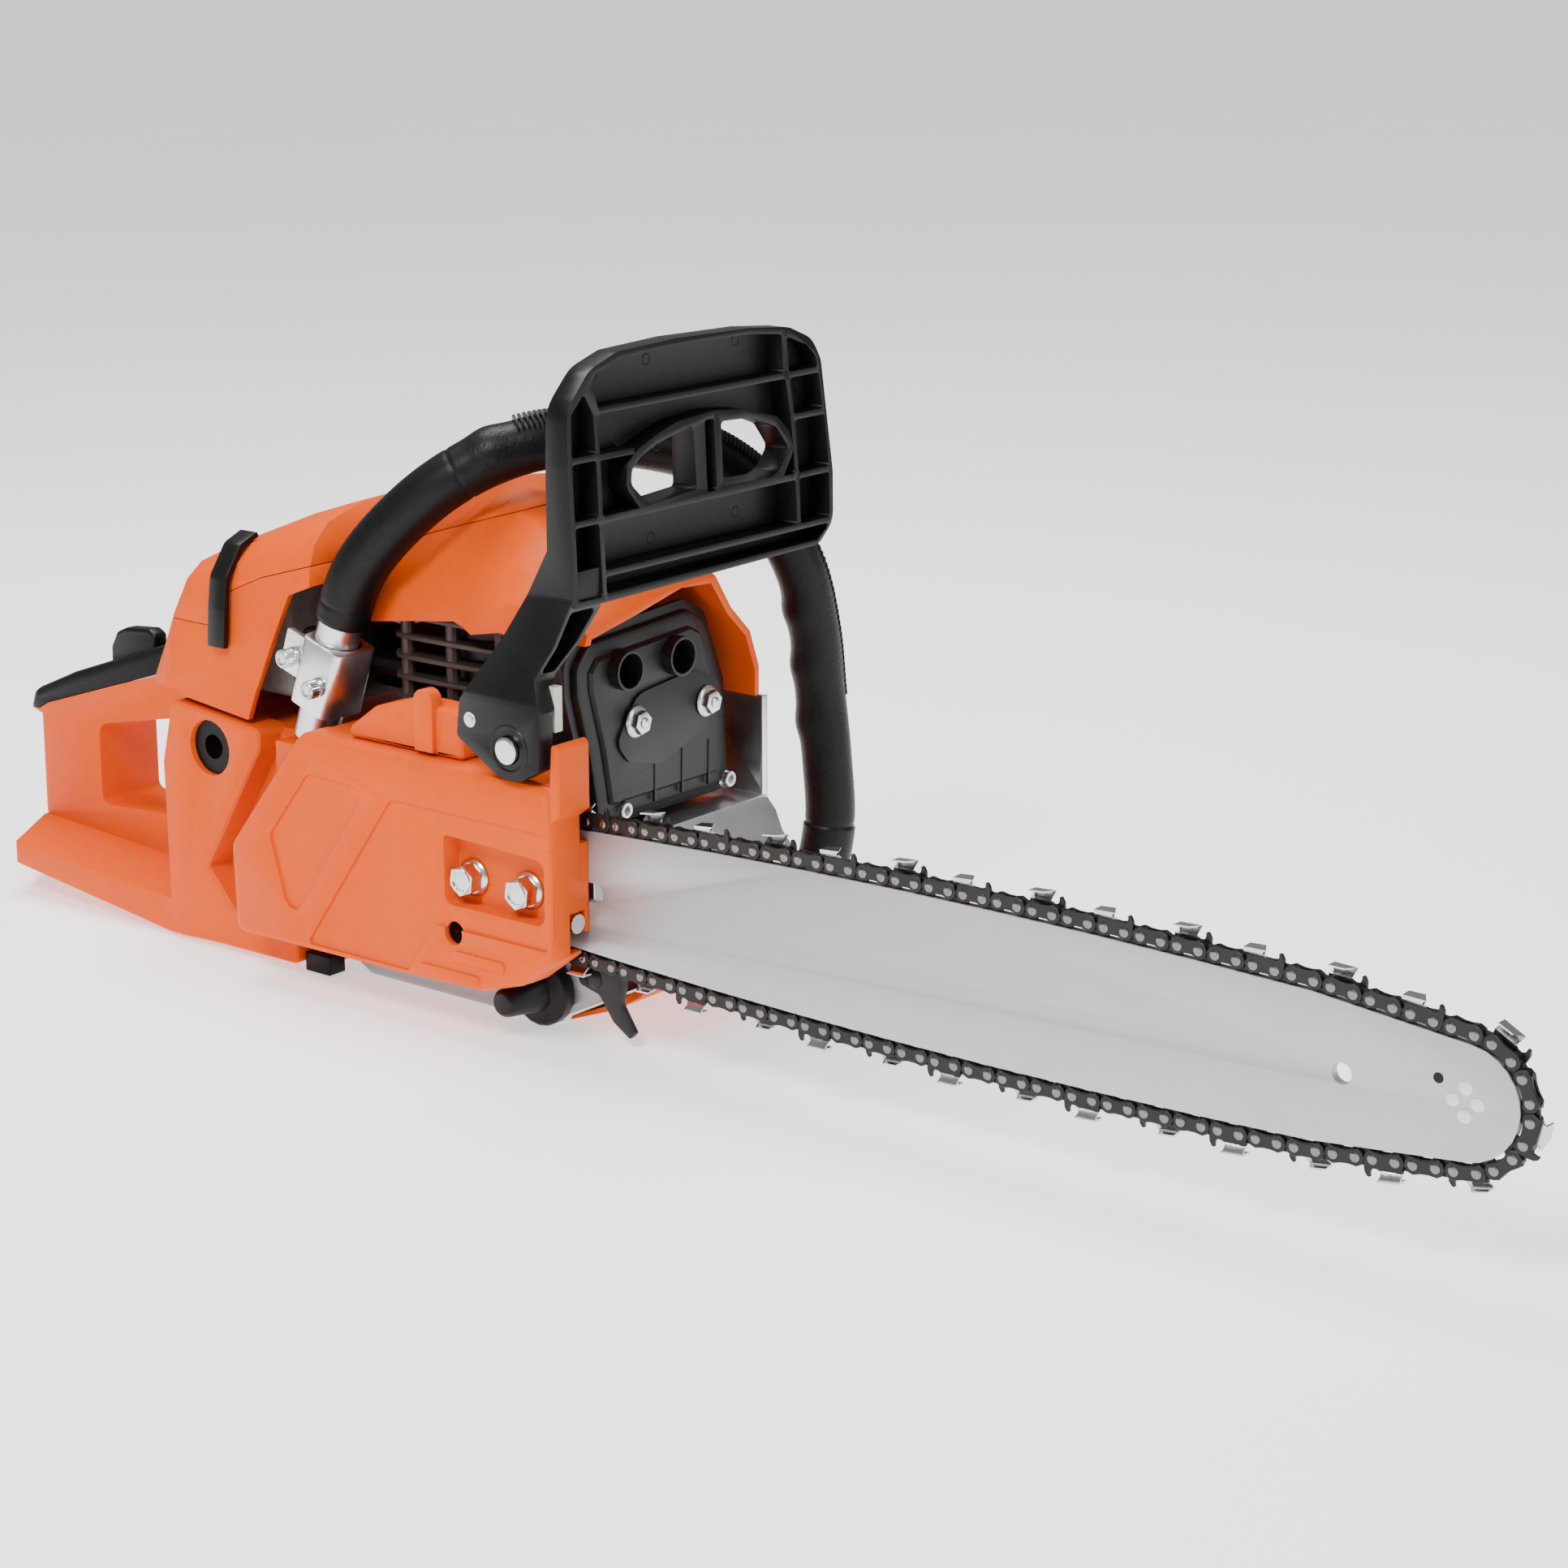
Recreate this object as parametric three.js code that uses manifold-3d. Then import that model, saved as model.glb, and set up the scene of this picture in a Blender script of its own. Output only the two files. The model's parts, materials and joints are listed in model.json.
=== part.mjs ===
// Petrol chainsaw with an 18 inch bar, as an assembly of separate parts.
// Millimetres. +X runs forward along the guide bar, +Y to the operator's left, +Z up.
// The origin lies on the flat base, below the crankshaft and in the plane of the cylinder.
import * as THREE from 'three';
import { mergeVertices } from 'three/addons/utils/BufferGeometryUtils.js';
import Module from 'manifold-3d';

const wasm = await Module();
wasm.setup();

// ---------------------------------------------------------------- driving dimensions
const GAP = 0.35; // clearance between parts that only touch
const RUN = 0.4; // clearance between parts that turn or slide in each other
const WALL = 3; // wall of the plastic covers

const crankZ = 74; // crankshaft and bar centreline above the base
const stroke = 34;
const bore = 43; // cylinder bore, diameter
const rodLength = 60; // crank pin to piston pin
const shaftR = 7.5; // crankshaft journals
const webR = 30; // crank webs
const cylinderBase = 100; // joint face between crankcase and cylinder
const finCount = 8;
const finPitch = 9.5;

const barY = -62; // middle plane of bar and chain
const barThickness = 4.2;
const barReach = 523.3; // crankshaft to nose sprocket
const drawnReach = 523.3; // reach for which the bar's belly is given below
const barTail = 26; // rear end of the bar
const pitch = 8.255; // average rivet spacing
const sprocketTeeth = 7;
const noseTeeth = 11;
const noseLineR = 26.5; // rivet line round the nose
const rivetToRail = 4; // rivet line to the rail the chain slides on
const bellyHalf = 36.3; // half height of the rivet line at the bar's widest place
const bellyX = 302.6;
const bellyDrop = 12.65e-5; // fall of the rivet line per mm squared away from there
const strapHalfHeight = 4.3;
const chainHalfWidth = 3.2;
const tangDepth = 5; // drive tangs below the straps
const cutterHeight = 8.2; // cutter top above the rivet line
const cutterReach = 6.2; // cutter's side beyond the bar plane
const grooveHalf = 0.8;
const grooveDepth = 10;
const slotAhead = 30; // bar slot ahead of the front stud

const studX = [50.7, 83.2]; // bar studs
const studR = 4; // M8
const nutR = 7.5; // 13 mm across flats
const drumR = 36; // clutch drum
const coverFace = -89; // outer face of the clutch cover
const pivotX = 86; // hand guard pivot
const pivotZ = 140;
const guardHeight = 108;
const guardWidth = 178;

const tubeR = 10.35; // front handle tube
const sleeveR = 13; // rubber sleeve
const sleeveOut = sleeveR - 13; // the handle bows out by as much as the sleeve is thicker
const housingHalf = 62; // half width of the upper covers
const rearReach = 310; // crankshaft to the rear of the handle
const handleHalf = 19; // half width of the rear handle
const mufflerFront = 84;
const mufflerBack = 50;
const outletR = 9;
const flywheelR = 42;
const capR = 16.5; // tank caps
const capGripR = 6.5; // foot of a cap's grip

// ---------------------------------------------------------------- shape helpers
const UP = { X: ['Y', 'Z'], Y: ['X', 'Z'], Z: ['X', 'Y'] };
const UNIT = { X: new THREE.Vector3(1, 0, 0), Y: new THREE.Vector3(0, 1, 0),
  Z: new THREE.Vector3(0, 0, 1) };

// A closed geometry as a solid that can be joined and cut.
function solid(geometry) {
  const bare = geometry.clone();
  bare.deleteAttribute('normal');
  bare.deleteAttribute('uv');
  const merged = mergeVertices(bare, 1e-4);
  const triangles = [];
  for (let i = 0; i < merged.index.count; i += 3) {
    const [a, b, c] = merged.index.array.slice(i, i + 3);
    if (a !== b && b !== c && c !== a) triangles.push(a, b, c); // points on a lathe's axis leave empty ones
  }
  return new wasm.Manifold(new wasm.Mesh({
    numProp: 3,
    vertProperties: new Float32Array(merged.attributes.position.array),
    triVerts: new Uint32Array(triangles),
  }));
}

// An outline through points [u, v] or [u, v, radius], with its corners rounded by arcs.
function outline(points, radius = 0, rounds = 3) {
  const at = (i) => new THREE.Vector2(...points[(i + points.length) % points.length].slice(0, 2));
  const path = points.flatMap(([u, v, own = radius], i) => {
    const corner = at(i);
    if (own <= 0) return [corner];
    const before = at(i - 1).sub(corner);
    const after = at(i + 1).sub(corner);
    const half = Math.acos(THREE.MathUtils.clamp(before.dot(after) / before.length() / after.length(),
      -1, 1)) / 2;
    const leg = Math.min(own / Math.tan(half), before.length() * 0.48, after.length() * 0.48);
    const middle = before.clone().normalize().add(after.clone().normalize());
    if (leg < 0.05 || middle.length() < 1e-3) return [corner];
    middle.setLength(leg / Math.cos(half)).add(corner);
    const start = before.setLength(leg).add(corner).sub(middle);
    const end = after.setLength(leg).add(corner).sub(middle);
    const sweep = Math.atan2(start.cross(end), start.dot(end));
    return Array.from({ length: rounds + 1 }, (_, k) =>
      start.clone().rotateAround(new THREE.Vector2(), (sweep * k) / rounds).add(middle));
  });
  return new THREE.Shape(path);
}

// The same outline moved inwards by a distance, corner by corner.
function inset(points, distance) {
  const area = points.reduce((sum, [u, v], i) => {
    const [nu, nv] = points[(i + 1) % points.length];
    return sum + u * nv - nu * v;
  }, 0);
  const side = area > 0 ? 1 : -1;
  return points.map(([u, v, r], i) => {
    const [pu, pv] = points[(i + points.length - 1) % points.length];
    const [nu, nv] = points[(i + 1) % points.length];
    const a = new THREE.Vector2(u - pu, v - pv).normalize();
    const b = new THREE.Vector2(nu - u, nv - v).normalize();
    const inward = new THREE.Vector2(-(a.y + b.y), a.x + b.x).multiplyScalar(side).normalize();
    const lean = inward.dot(new THREE.Vector2(-a.y, a.x).multiplyScalar(side));
    const step = distance / Math.max(lean, 0.35);
    return [u + inward.x * step, v + inward.y * step, Math.max((r ?? 0) - distance, 0)];
  });
}

function circle(u, v, radius, sides = 24) {
  return new THREE.Shape(Array.from({ length: sides }, (_, i) => {
    const turn = ((i + 0.5) / sides) * 2 * Math.PI;
    return new THREE.Vector2(u + radius * Math.cos(turn), v + radius * Math.sin(turn));
  }));
}

// A slab of a shape, extruded along an axis between two places.
function slab(axis, shape, from, to, { bevel = 0, rounds = 1 } = {}) {
  const length = to - from;
  const geometry = new THREE.ExtrudeGeometry(shape, {
    depth: length - 2 * bevel,
    bevelEnabled: bevel > 0,
    bevelThickness: bevel,
    bevelSize: bevel,
    bevelOffset: -bevel,
    bevelSegments: rounds,
  });
  geometry.translate(0, 0, bevel);
  const [u, v] = UP[axis].map((name) => UNIT[name]);
  const along = new THREE.Vector3().crossVectors(u, v);
  geometry.applyMatrix4(new THREE.Matrix4().makeBasis(u, v, along));
  const start = along.dot(UNIT[axis]) > 0 ? from : to;
  geometry.translate(...UNIT[axis].clone().multiplyScalar(start).toArray());
  return solid(geometry);
}

const rod = (axis, radius, from, to, [u, v] = [0, 0], sides = 24) =>
  slab(axis, circle(u, v, radius, sides), from, to);

function box([x0, x1], [y0, y1], [z0, z1]) {
  const geometry = new THREE.BoxGeometry(x1 - x0, y1 - y0, z1 - z0);
  geometry.translate((x0 + x1) / 2, (y0 + y1) / 2, (z0 + z1) / 2);
  return solid(geometry);
}

// A turned part: profile of [radius, place along the axis], from the axis and back to it.
function turned(axis, profile, [u, v] = [0, 0], sides = 24) {
  const geometry = new THREE.LatheGeometry(profile.map(([r, h]) => new THREE.Vector2(r, h)), sides);
  if (axis === 'X') geometry.rotateZ(-Math.PI / 2).translate(0, u, v);
  if (axis === 'Y') geometry.translate(u, 0, v);
  if (axis === 'Z') geometry.rotateX(Math.PI / 2).translate(u, v, 0);
  return solid(geometry);
}

// The surface of a solid as a geometry again.
function surface(body) {
  const mesh = body.getMesh();
  const geometry = new THREE.BufferGeometry();
  geometry.setAttribute('position', new THREE.BufferAttribute(new Float32Array(mesh.vertProperties), 3));
  geometry.setIndex(new THREE.BufferAttribute(new Uint32Array(mesh.triVerts), 1));
  return geometry;
}

const turnedBy = (body, axis, angle) => solid(surface(body)[`rotate${axis}`](angle));
const moved = (body, offset) => solid(surface(body).translate(...offset));

const union = (...pieces) => pieces.reduce((whole, piece) => whole.add(piece));
const cut = (body, ...tools) => tools.reduce((rest, tool) => rest.subtract(tool), body);

// ---------------------------------------------------------------- the scene
const saw = new THREE.Group();

const FINISH = {
  orange: [0xff7a2e, 0.55, 0],
  black: [0x17171a, 0.55, 0],
  rubber: [0x1b1b1d, 0.8, 0],
  darkMetal: [0x2a2725, 0.6, 0.4],
  castGrey: [0x77787a, 0.6, 0.7],
  aluminium: [0xc9cbce, 0.35, 0.9],
  steel: [0xb9bbbe, 0.3, 0.9],
  barSteel: [0xd3d4d5, 0.4, 0.6],
  chainSteel: [0x3a3634, 0.35, 0.8],
  paleBlock: [0xd8d4cc, 0.6, 0],
};

function part(name, body, finish, parent = saw) {
  const geometry = surface(body);
  geometry.computeVertexNormals();
  const [color, roughness, metalness] = FINISH[finish];
  const piece = new THREE.Mesh(geometry, new THREE.MeshStandardMaterial({ color, roughness, metalness }));
  piece.name = name;
  parent.add(piece);
  return piece;
}

// ---------------------------------------------------------------- chain line and guide bar
const sprocketR = (pitch * sprocketTeeth) / Math.PI;
const bellyStretch = barReach / drawnReach;
const bellyMid = bellyX * bellyStretch;
const noseRun = barReach - 63.3; // where the rails straighten towards the nose

const rivetLine = (x) => bellyHalf - bellyDrop * ((x - bellyMid) / bellyStretch) ** 2;

// Angle at which the line from a point outside touches a circle round (cx, 0).
function tangentTurn(x, z, cx, radius, side) {
  const reach = Math.hypot(x - cx, z);
  return Math.atan2(z, x - cx) + side * Math.acos(radius / reach);
}

// The rivet line as a closed loop of points with outward normals, from the rail's start.
function chainLoop() {
  const railStart = barTail + rivetToRail;
  const top = [];
  const railSteps = 9;
  for (let i = 0; i <= railSteps; i++) {
    const x = railStart + ((noseRun - railStart) * i) / railSteps;
    const slope = (-2 * bellyDrop * (x - bellyMid)) / bellyStretch ** 2;
    top.push({ p: new THREE.Vector2(x, rivetLine(x)), n: new THREE.Vector2(-slope, 1).normalize() });
  }
  const noseTurn = tangentTurn(noseRun, rivetLine(noseRun), barReach, noseLineR, -1);
  const arc = (cx, radius, from, to, steps) => Array.from({ length: steps + 1 }, (_, i) => {
    const turn = from + ((to - from) * i) / steps;
    const n = new THREE.Vector2(Math.cos(turn), Math.sin(turn));
    return { p: n.clone().multiplyScalar(radius).add(new THREE.Vector2(cx, 0)), n };
  });
  const tailTurn = tangentTurn(railStart, rivetLine(railStart), 0, sprocketR, 1);
  const mirrored = top.map(({ p, n }) => ({ p: new THREE.Vector2(p.x, -p.y),
    n: new THREE.Vector2(n.x, -n.y) }));
  return [
    ...top,
    ...arc(barReach, noseLineR, noseTurn, -noseTurn, 12),
    ...mirrored.reverse(),
    ...arc(0, sprocketR, 2 * Math.PI - tailTurn, tailTurn, 10),
  ];
}

const loop = chainLoop();
const loopShape = (offset, points = loop) => new THREE.Shape(points
  .map(({ p, n }) => new THREE.Vector2(p.x + n.x * offset, crankZ + p.y + n.y * offset)).reverse());
const loopRing = (outer, inner) => {
  const shape = loopShape(outer);
  shape.holes.push(loopShape(inner));
  return shape;
};

// A place on the rivet line at a distance along it, measured from above the crankshaft's front.
function alongLoop(distance) {
  const total = loop.reduce((sum, { p }, i) => sum + p.distanceTo(loop[(i + 1) % loop.length].p), 0);
  let rest = ((distance % total) + total) % total;
  for (let i = 0; i < loop.length; i++) {
    const here = loop[i].p;
    const next = loop[(i + 1) % loop.length].p;
    const step = here.distanceTo(next);
    if (rest <= step) {
      const direction = next.clone().sub(here).normalize();
      return { p: here.clone().lerp(next, rest / step), direction, total };
    }
    rest -= step;
  }
  return null;
}

function guideBar() {
  const half = barThickness / 2;
  const onBar = loop.filter(({ p }) => p.x > barTail + rivetToRail - 1);
  const rail = loopShape(-rivetToRail, onBar);
  const tip = noseLineR - rivetToRail;
  const slotHalf = studR + GAP;
  let bar = slab('Y', rail, barY - half, barY + half);
  const groove = loopShape(4);
  groove.holes.push(loopShape(-rivetToRail - grooveDepth, onBar));
  bar = cut(bar, slab('Y', groove, barY - grooveHalf, barY + grooveHalf));
  const pocket = circle(barReach, crankZ, tip - 1.5, 32);
  pocket.holes.push(circle(barReach, crankZ, 5.4, 16));
  bar = cut(bar, slab('Y', pocket, barY - grooveHalf, barY + grooveHalf));
  const slotEnds = [studX[0] - 8, studX[1] + slotAhead];
  const slot = outline([[slotEnds[0], crankZ - slotHalf, 4], [slotEnds[1], crankZ - slotHalf, 4],
    [slotEnds[1], crankZ + slotHalf, 4], [slotEnds[0], crankZ + slotHalf, 4]]);
  const pinHole = rod('Y', 3, barY - 5, barY + 5, [studX[0] + 2, crankZ - 14], 12);
  const hangHole = rod('Y', 4.2, barY - 5, barY + 5, [barReach - 49.6, crankZ], 16);
  return cut(bar, slab('Y', slot, barY - 5, barY + 5), pinHole, hangHole);
}

function sawChain() {
  let chain = slab('Y', loopRing(strapHalfHeight, GAP - rivetToRail),
    barY - chainHalfWidth, barY + chainHalfWidth);
  const tangs = slab('Y', loopRing(-rivetToRail + 1, -rivetToRail - tangDepth), barY - 0.45, barY + 0.45);
  chain = chain.add(cut(tangs, box([-60, barTail + 14], [-80, -40], [0, 150])));
  const spacing = 8 * pitch; // each side has a cutter at every eighth rivet
  const { total } = alongLoop(0);
  const count = 2 * Math.floor(total / spacing);
  for (let i = 0; i < count; i++) {
    const { p, direction } = alongLoop(17 + (total * i) / count);
    const side = i % 2 ? 1 : -1;
    const block = new THREE.BoxGeometry(15, cutterReach - 1, cutterHeight - 2);
    block.translate(0, side * (cutterReach + 1) / 2, (cutterHeight + 2) / 2);
    block.rotateY(-Math.atan2(direction.y, direction.x));
    block.translate(p.x, barY, crankZ + p.y);
    chain = chain.add(solid(block));
  }
  return chain;
}

part('guide_bar', guideBar(), 'barSteel');
part('saw_chain', sawChain(), 'chainSteel');

const noseSprocketR = noseLineR - rivetToRail - tangDepth - GAP;
function toothed(teeth, tipR, rootR, boreR, from, to, [x, z]) {
  const shape = new THREE.Shape();
  for (let i = 0; i < teeth * 4; i++) {
    const turn = ((i + 0.5) / (teeth * 4)) * 2 * Math.PI;
    const radius = i % 4 < 2 ? tipR : rootR;
    shape[i ? 'lineTo' : 'moveTo'](x + radius * Math.cos(turn), z + radius * Math.sin(turn));
  }
  shape.holes.push(circle(x, z, boreR, 24));
  return slab('Y', shape, from, to);
}
part('nose_sprocket',
  toothed(noseTeeth, noseSprocketR, noseSprocketR - 3, 6, barY - 0.5, barY + 0.5, [barReach, crankZ]),
    'steel');

// ---------------------------------------------------------------- crank train, piston and clutch
const pinTop = crankZ + stroke / 2 + rodLength; // piston pin at top dead centre
const drumBack = barY - 6.8;
const shaftRightEnd = drumBack - 15.6;

function crankshaft() {
  const webs = [-13, 7].map((y) => rod('Y', webR, y, y + 6, [0, crankZ], 32));
  const pin = rod('Y', 6.5, -8, 8, [0, crankZ + stroke / 2], 16);
  const right = rod('Y', shaftR, shaftRightEnd, -12, [0, crankZ]);
  const left = rod('Y', shaftR, 12, 64, [0, crankZ]);
  return union(webs[0], webs[1], pin, right, left);
}
part('crankshaft', crankshaft(), 'steel');

function flywheel() {
  const rim = circle(0, crankZ, flywheelR, 36);
  rim.holes.push(circle(0, crankZ, shaftR + RUN));
  let wheel = slab('Y', rim, 48, 55);
  for (let i = 0; i < 12; i++) {
    const blade = new THREE.BoxGeometry(14, 8, 2);
    blade.translate(flywheelR - 9, 58, 0).rotateY((i / 12) * 2 * Math.PI).translate(0, 0, crankZ);
    wheel = wheel.add(solid(blade));
  }
  return wheel;
}
part('flywheel', flywheel(), 'aluminium');

function clutchHub() {
  const shape = circle(0, crankZ, drumR - 4.5, 32);
  shape.holes.push(circle(0, crankZ, shaftR + RUN));
  const slots = [0, 1, 2].map((i) => {
    const slot = new THREE.BoxGeometry(24, 20, 2.4);
    slot.translate(24, shaftRightEnd + 6, 0).rotateY(0.3 + (i / 3) * 2 * Math.PI).translate(0, 0, crankZ);
    return solid(slot);
  });
  return cut(slab('Y', shape, shaftRightEnd + 1.5, drumBack - 3), ...slots);
}
part('clutch_hub', clutchHub(), 'darkMetal');

function clutchDrum() {
  const cup = turned('Y', [[0, drumBack - 15.5], [drumR, drumBack - 15.5], [drumR, drumBack],
    [0, drumBack]],
    [0, crankZ], 36);
  const hollow = rod('Y', drumR - 2, drumBack - 20, drumBack - 2, [0, crankZ], 36);
  const teeth = toothed(sprocketTeeth, sprocketR - rivetToRail - 1, sprocketR - rivetToRail - 4,
    shaftR + RUN,
    drumBack - 1, barY + 3.5, [0, crankZ]);
  return cut(cup, hollow, rod('Y', shaftR + RUN, -90, -60, [0, crankZ])).add(teeth);
}
part('clutch_drum', clutchDrum(), 'steel');

function piston() {
  const top = pinTop + 18;
  const skirt = pinTop - 14;
  const outer = rod('Z', bore / 2 - GAP, skirt, top, [0, 0], 36);
  const inner = rod('Z', bore / 2 - 4.5, skirt - 1, top - 6, [0, 0], 36);
  return cut(outer, inner).add(rod('Y', 5, -bore / 2 + 3, bore / 2 - 3, [0, pinTop], 16));
}
part('piston', piston(), 'aluminium');

function connectingRod() {
  const eye = circle(0, pinTop, 8.5, 20);
  const shank = slab('Y', outline([[-5, pinTop - 17], [5, pinTop - 17], [4.5, pinTop], [-4.5, pinTop]]),
    -4, 4);
  return cut(slab('Y', eye, -5, 5).add(shank), rod('Y', 5 + RUN, -6, 6, [0, pinTop], 16));
}
part('connecting_rod', connectingRod(), 'steel');

// ---------------------------------------------------------------- engine block
const rightFace = -46.5; // right face of the crankcase
const leftFace = 44;
const shieldZ = 84.2; // heat shield under the muffler
const oilFillerX = 64;
const fillerZ = capR + 1; // oil filler above the base
const padFace = barY + barThickness / 2 + 1.2; // seat of the inner guide plate
const padOutline = [[38, 57, 8], [103, 57, 8], [103, 91, 8], [38, 91, 8]];

function crankcase() {
  const side = outline([[-60, 6, 6], [-50, 0, 4], [56, 0, 4], [70, 4, 6], [91, 15, 8], [101, 30, 8],
    [93, 58, 10],
    [88, 79, 5], [62, cylinderBase, 8], [-48, cylinderBase, 8], [-60, 86, 8]]);
  let block = slab('Y', side, rightFace, leftFace, { bevel: 3 });
  block = block.add(slab('Y', outline(padOutline), padFace, rightFace + 6));
  const chamber = rod('Y', webR + 3, -16, 16, [0, crankZ], 32);
  const journal = rod('Y', shaftR + 1, rightFace - 2, leftFace + 2, [0, crankZ]);
  const throat = rod('Z', bore / 2 + 1, crankZ, cylinderBase + 2, [0, 0], 36);
  const studHoles = studX.map((x) => rod('Y', studR + GAP, padFace - 2, rightFace + 4, [x, crankZ], 12));
  const mufflerSeat = box([41, 120], [-42, 60], [shieldZ - 0.5, 120]);
  const oilTank = union(box([-50, 86], [-40, 38], [7, 38]), box([40, 84], [-40, 38], [37, 52]));
  const filler = rod('Y', 11, rightFace - 2, rightFace + 8, [oilFillerX, fillerZ], 20);
  return cut(block, chamber, journal, throat, mufflerSeat, oilTank, filler, ...studHoles);
}
part('crankcase', crankcase(), 'castGrey');

function cylinder() {
  const base = cylinderBase + GAP;
  const finTop = base + 6 + finPitch * (finCount - 1);
  let barrel = slab('Z', circle(0, 0, bore / 2 + 6, 24), base, finTop + 4);
  for (let i = 0; i < finCount; i++) {
    const z = base + 5 + finPitch * i;
    const fin = outline([[-40, -37.2, 10], [40, -37.2, 10], [40, 38, 10], [-40, 38, 10]]);
    barrel = barrel.add(slab('Z', fin, z, z + 2.4));
  }
  [[-30, -33], [-2, -33], [28, -33]].forEach(([x, y]) => {
    barrel = barrel.add(rod('Z', 3.4, base + 5, finTop + 2, [x, y], 10));
  });
  const combustion = turned('Z', [[0, base - 1], [bore / 2, base - 1], [bore / 2, pinTop + 19],
    [bore / 3, pinTop + 22], [0, pinTop + 22]], [0, 0], 36);
  return cut(barrel, combustion, rod('Z', 5, pinTop + 20, finTop + 10, [0, 0], 16));
}
part('cylinder', cylinder(), 'darkMetal');
const headTop = cylinderBase + GAP + 6 + finPitch * (finCount - 1) + 4;

part('spark_plug', union(
  rod('Z', 4.6, headTop - 6.4, headTop + 4, [0, 0], 16), slab('Z', circle(0, 0, 8, 6),
    headTop + GAP, headTop + 7),
), 'steel');
part('plug_boot', turned('Z', [[0, headTop + 7.4], [9, headTop + 7.4], [9, headTop + 20], [5, headTop + 26],
  [0, headTop + 26]], [0, 0], 16), 'rubber');

part('oil_pump', cut(
  rod('Y', 16, rightFace - 9, rightFace - GAP, [0, crankZ]),
  rod('Y', shaftR + 1, rightFace - 12, rightFace + 2, [0, crankZ]),
), 'aluminium');
part('ignition_coil', box([flywheelR + 1.5, flywheelR + 15], [leftFace + 3, leftFace + 15], [56, 78.5]),
  'black');

// The case that holds the recoil starter and guides the cooling air, on the left side.
const starterFace = 80;
function starterCover() {
  const side = [[-60, 60, 20], [-46, 30, 20], [52, 25, 12], [66, 44, 12], [66, shieldZ - 0.6, 8],
    [mufflerBack - 1.2, shieldZ - 0.6, 3], [mufflerBack - 1.2, 126, 12], [-44, 126, 16], [-60, 104, 16]];
  let shell = slab('Y', outline(side), leftFace + GAP, starterFace, { bevel: 6, rounds: 2 });
  const inside = inset(side, WALL).map(([u, v, r]) => [u, v, r + 2]);
  shell = cut(shell, slab('Y', outline(inside), leftFace - 5, starterFace - WALL));
  for (let i = 0; i < 5; i++) {
    const vent = new THREE.BoxGeometry(4, 12, 34);
    vent.rotateY(0.35).translate(-34 + 14 * i, starterFace, crankZ - 2);
    shell = cut(shell, solid(vent));
  }
  return shell.add(rod('Y', 5, 66, starterFace - 1, [0, crankZ], 16));
}
part('starter_cover', starterCover(), 'orange');

part('starter_pulley', cut(
  turned('Y', [[0, 66.5], [31, 66.5], [31, 68], [27, 69], [27, 70.5], [31, 71.5], [31, 73], [0, 73]],
    [0, crankZ], 28),
  rod('Y', 5 + RUN, 60, 80, [0, crankZ], 16),
), 'black');
const springCoil = circle(0, crankZ, 25, 24);
springCoil.holes.push(circle(0, crankZ, 8, 24));
part('recoil_spring', slab('Y', springCoil, 73.5, 76), 'steel');
part('starter_grip', union(
  slab('X', outline([[starterFace + 8, 100, 4], [starterFace + 19, 103, 5], [starterFace + 16, 113, 5],
    [starterFace + 5, 110, 4]]), -50, -10),
  box([-36, -24], [starterFace + 1.5, starterFace + 9], [101, 109]),
), 'black');

// ---------------------------------------------------------------- clutch cover, nuts and brake
const coverFoot = fillerZ + capGripR + 1.5; // the cover's lower edge clears the oil cap
const coverOutline = [[-46, 126, 8], [-94, 66, 8], [-92.5, 23, 6], [16, coverFoot - 1.5, 5],
  [62, coverFoot, 18], [86, coverFoot + 7.5, 12],
  [105.5, 48, 9], [105.5, 126, 5]];
const recessFloor = coverFace + 11;
const tensionY = -71.8; // screw that tensions the chain
const tensionZ = 61.5;

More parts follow.
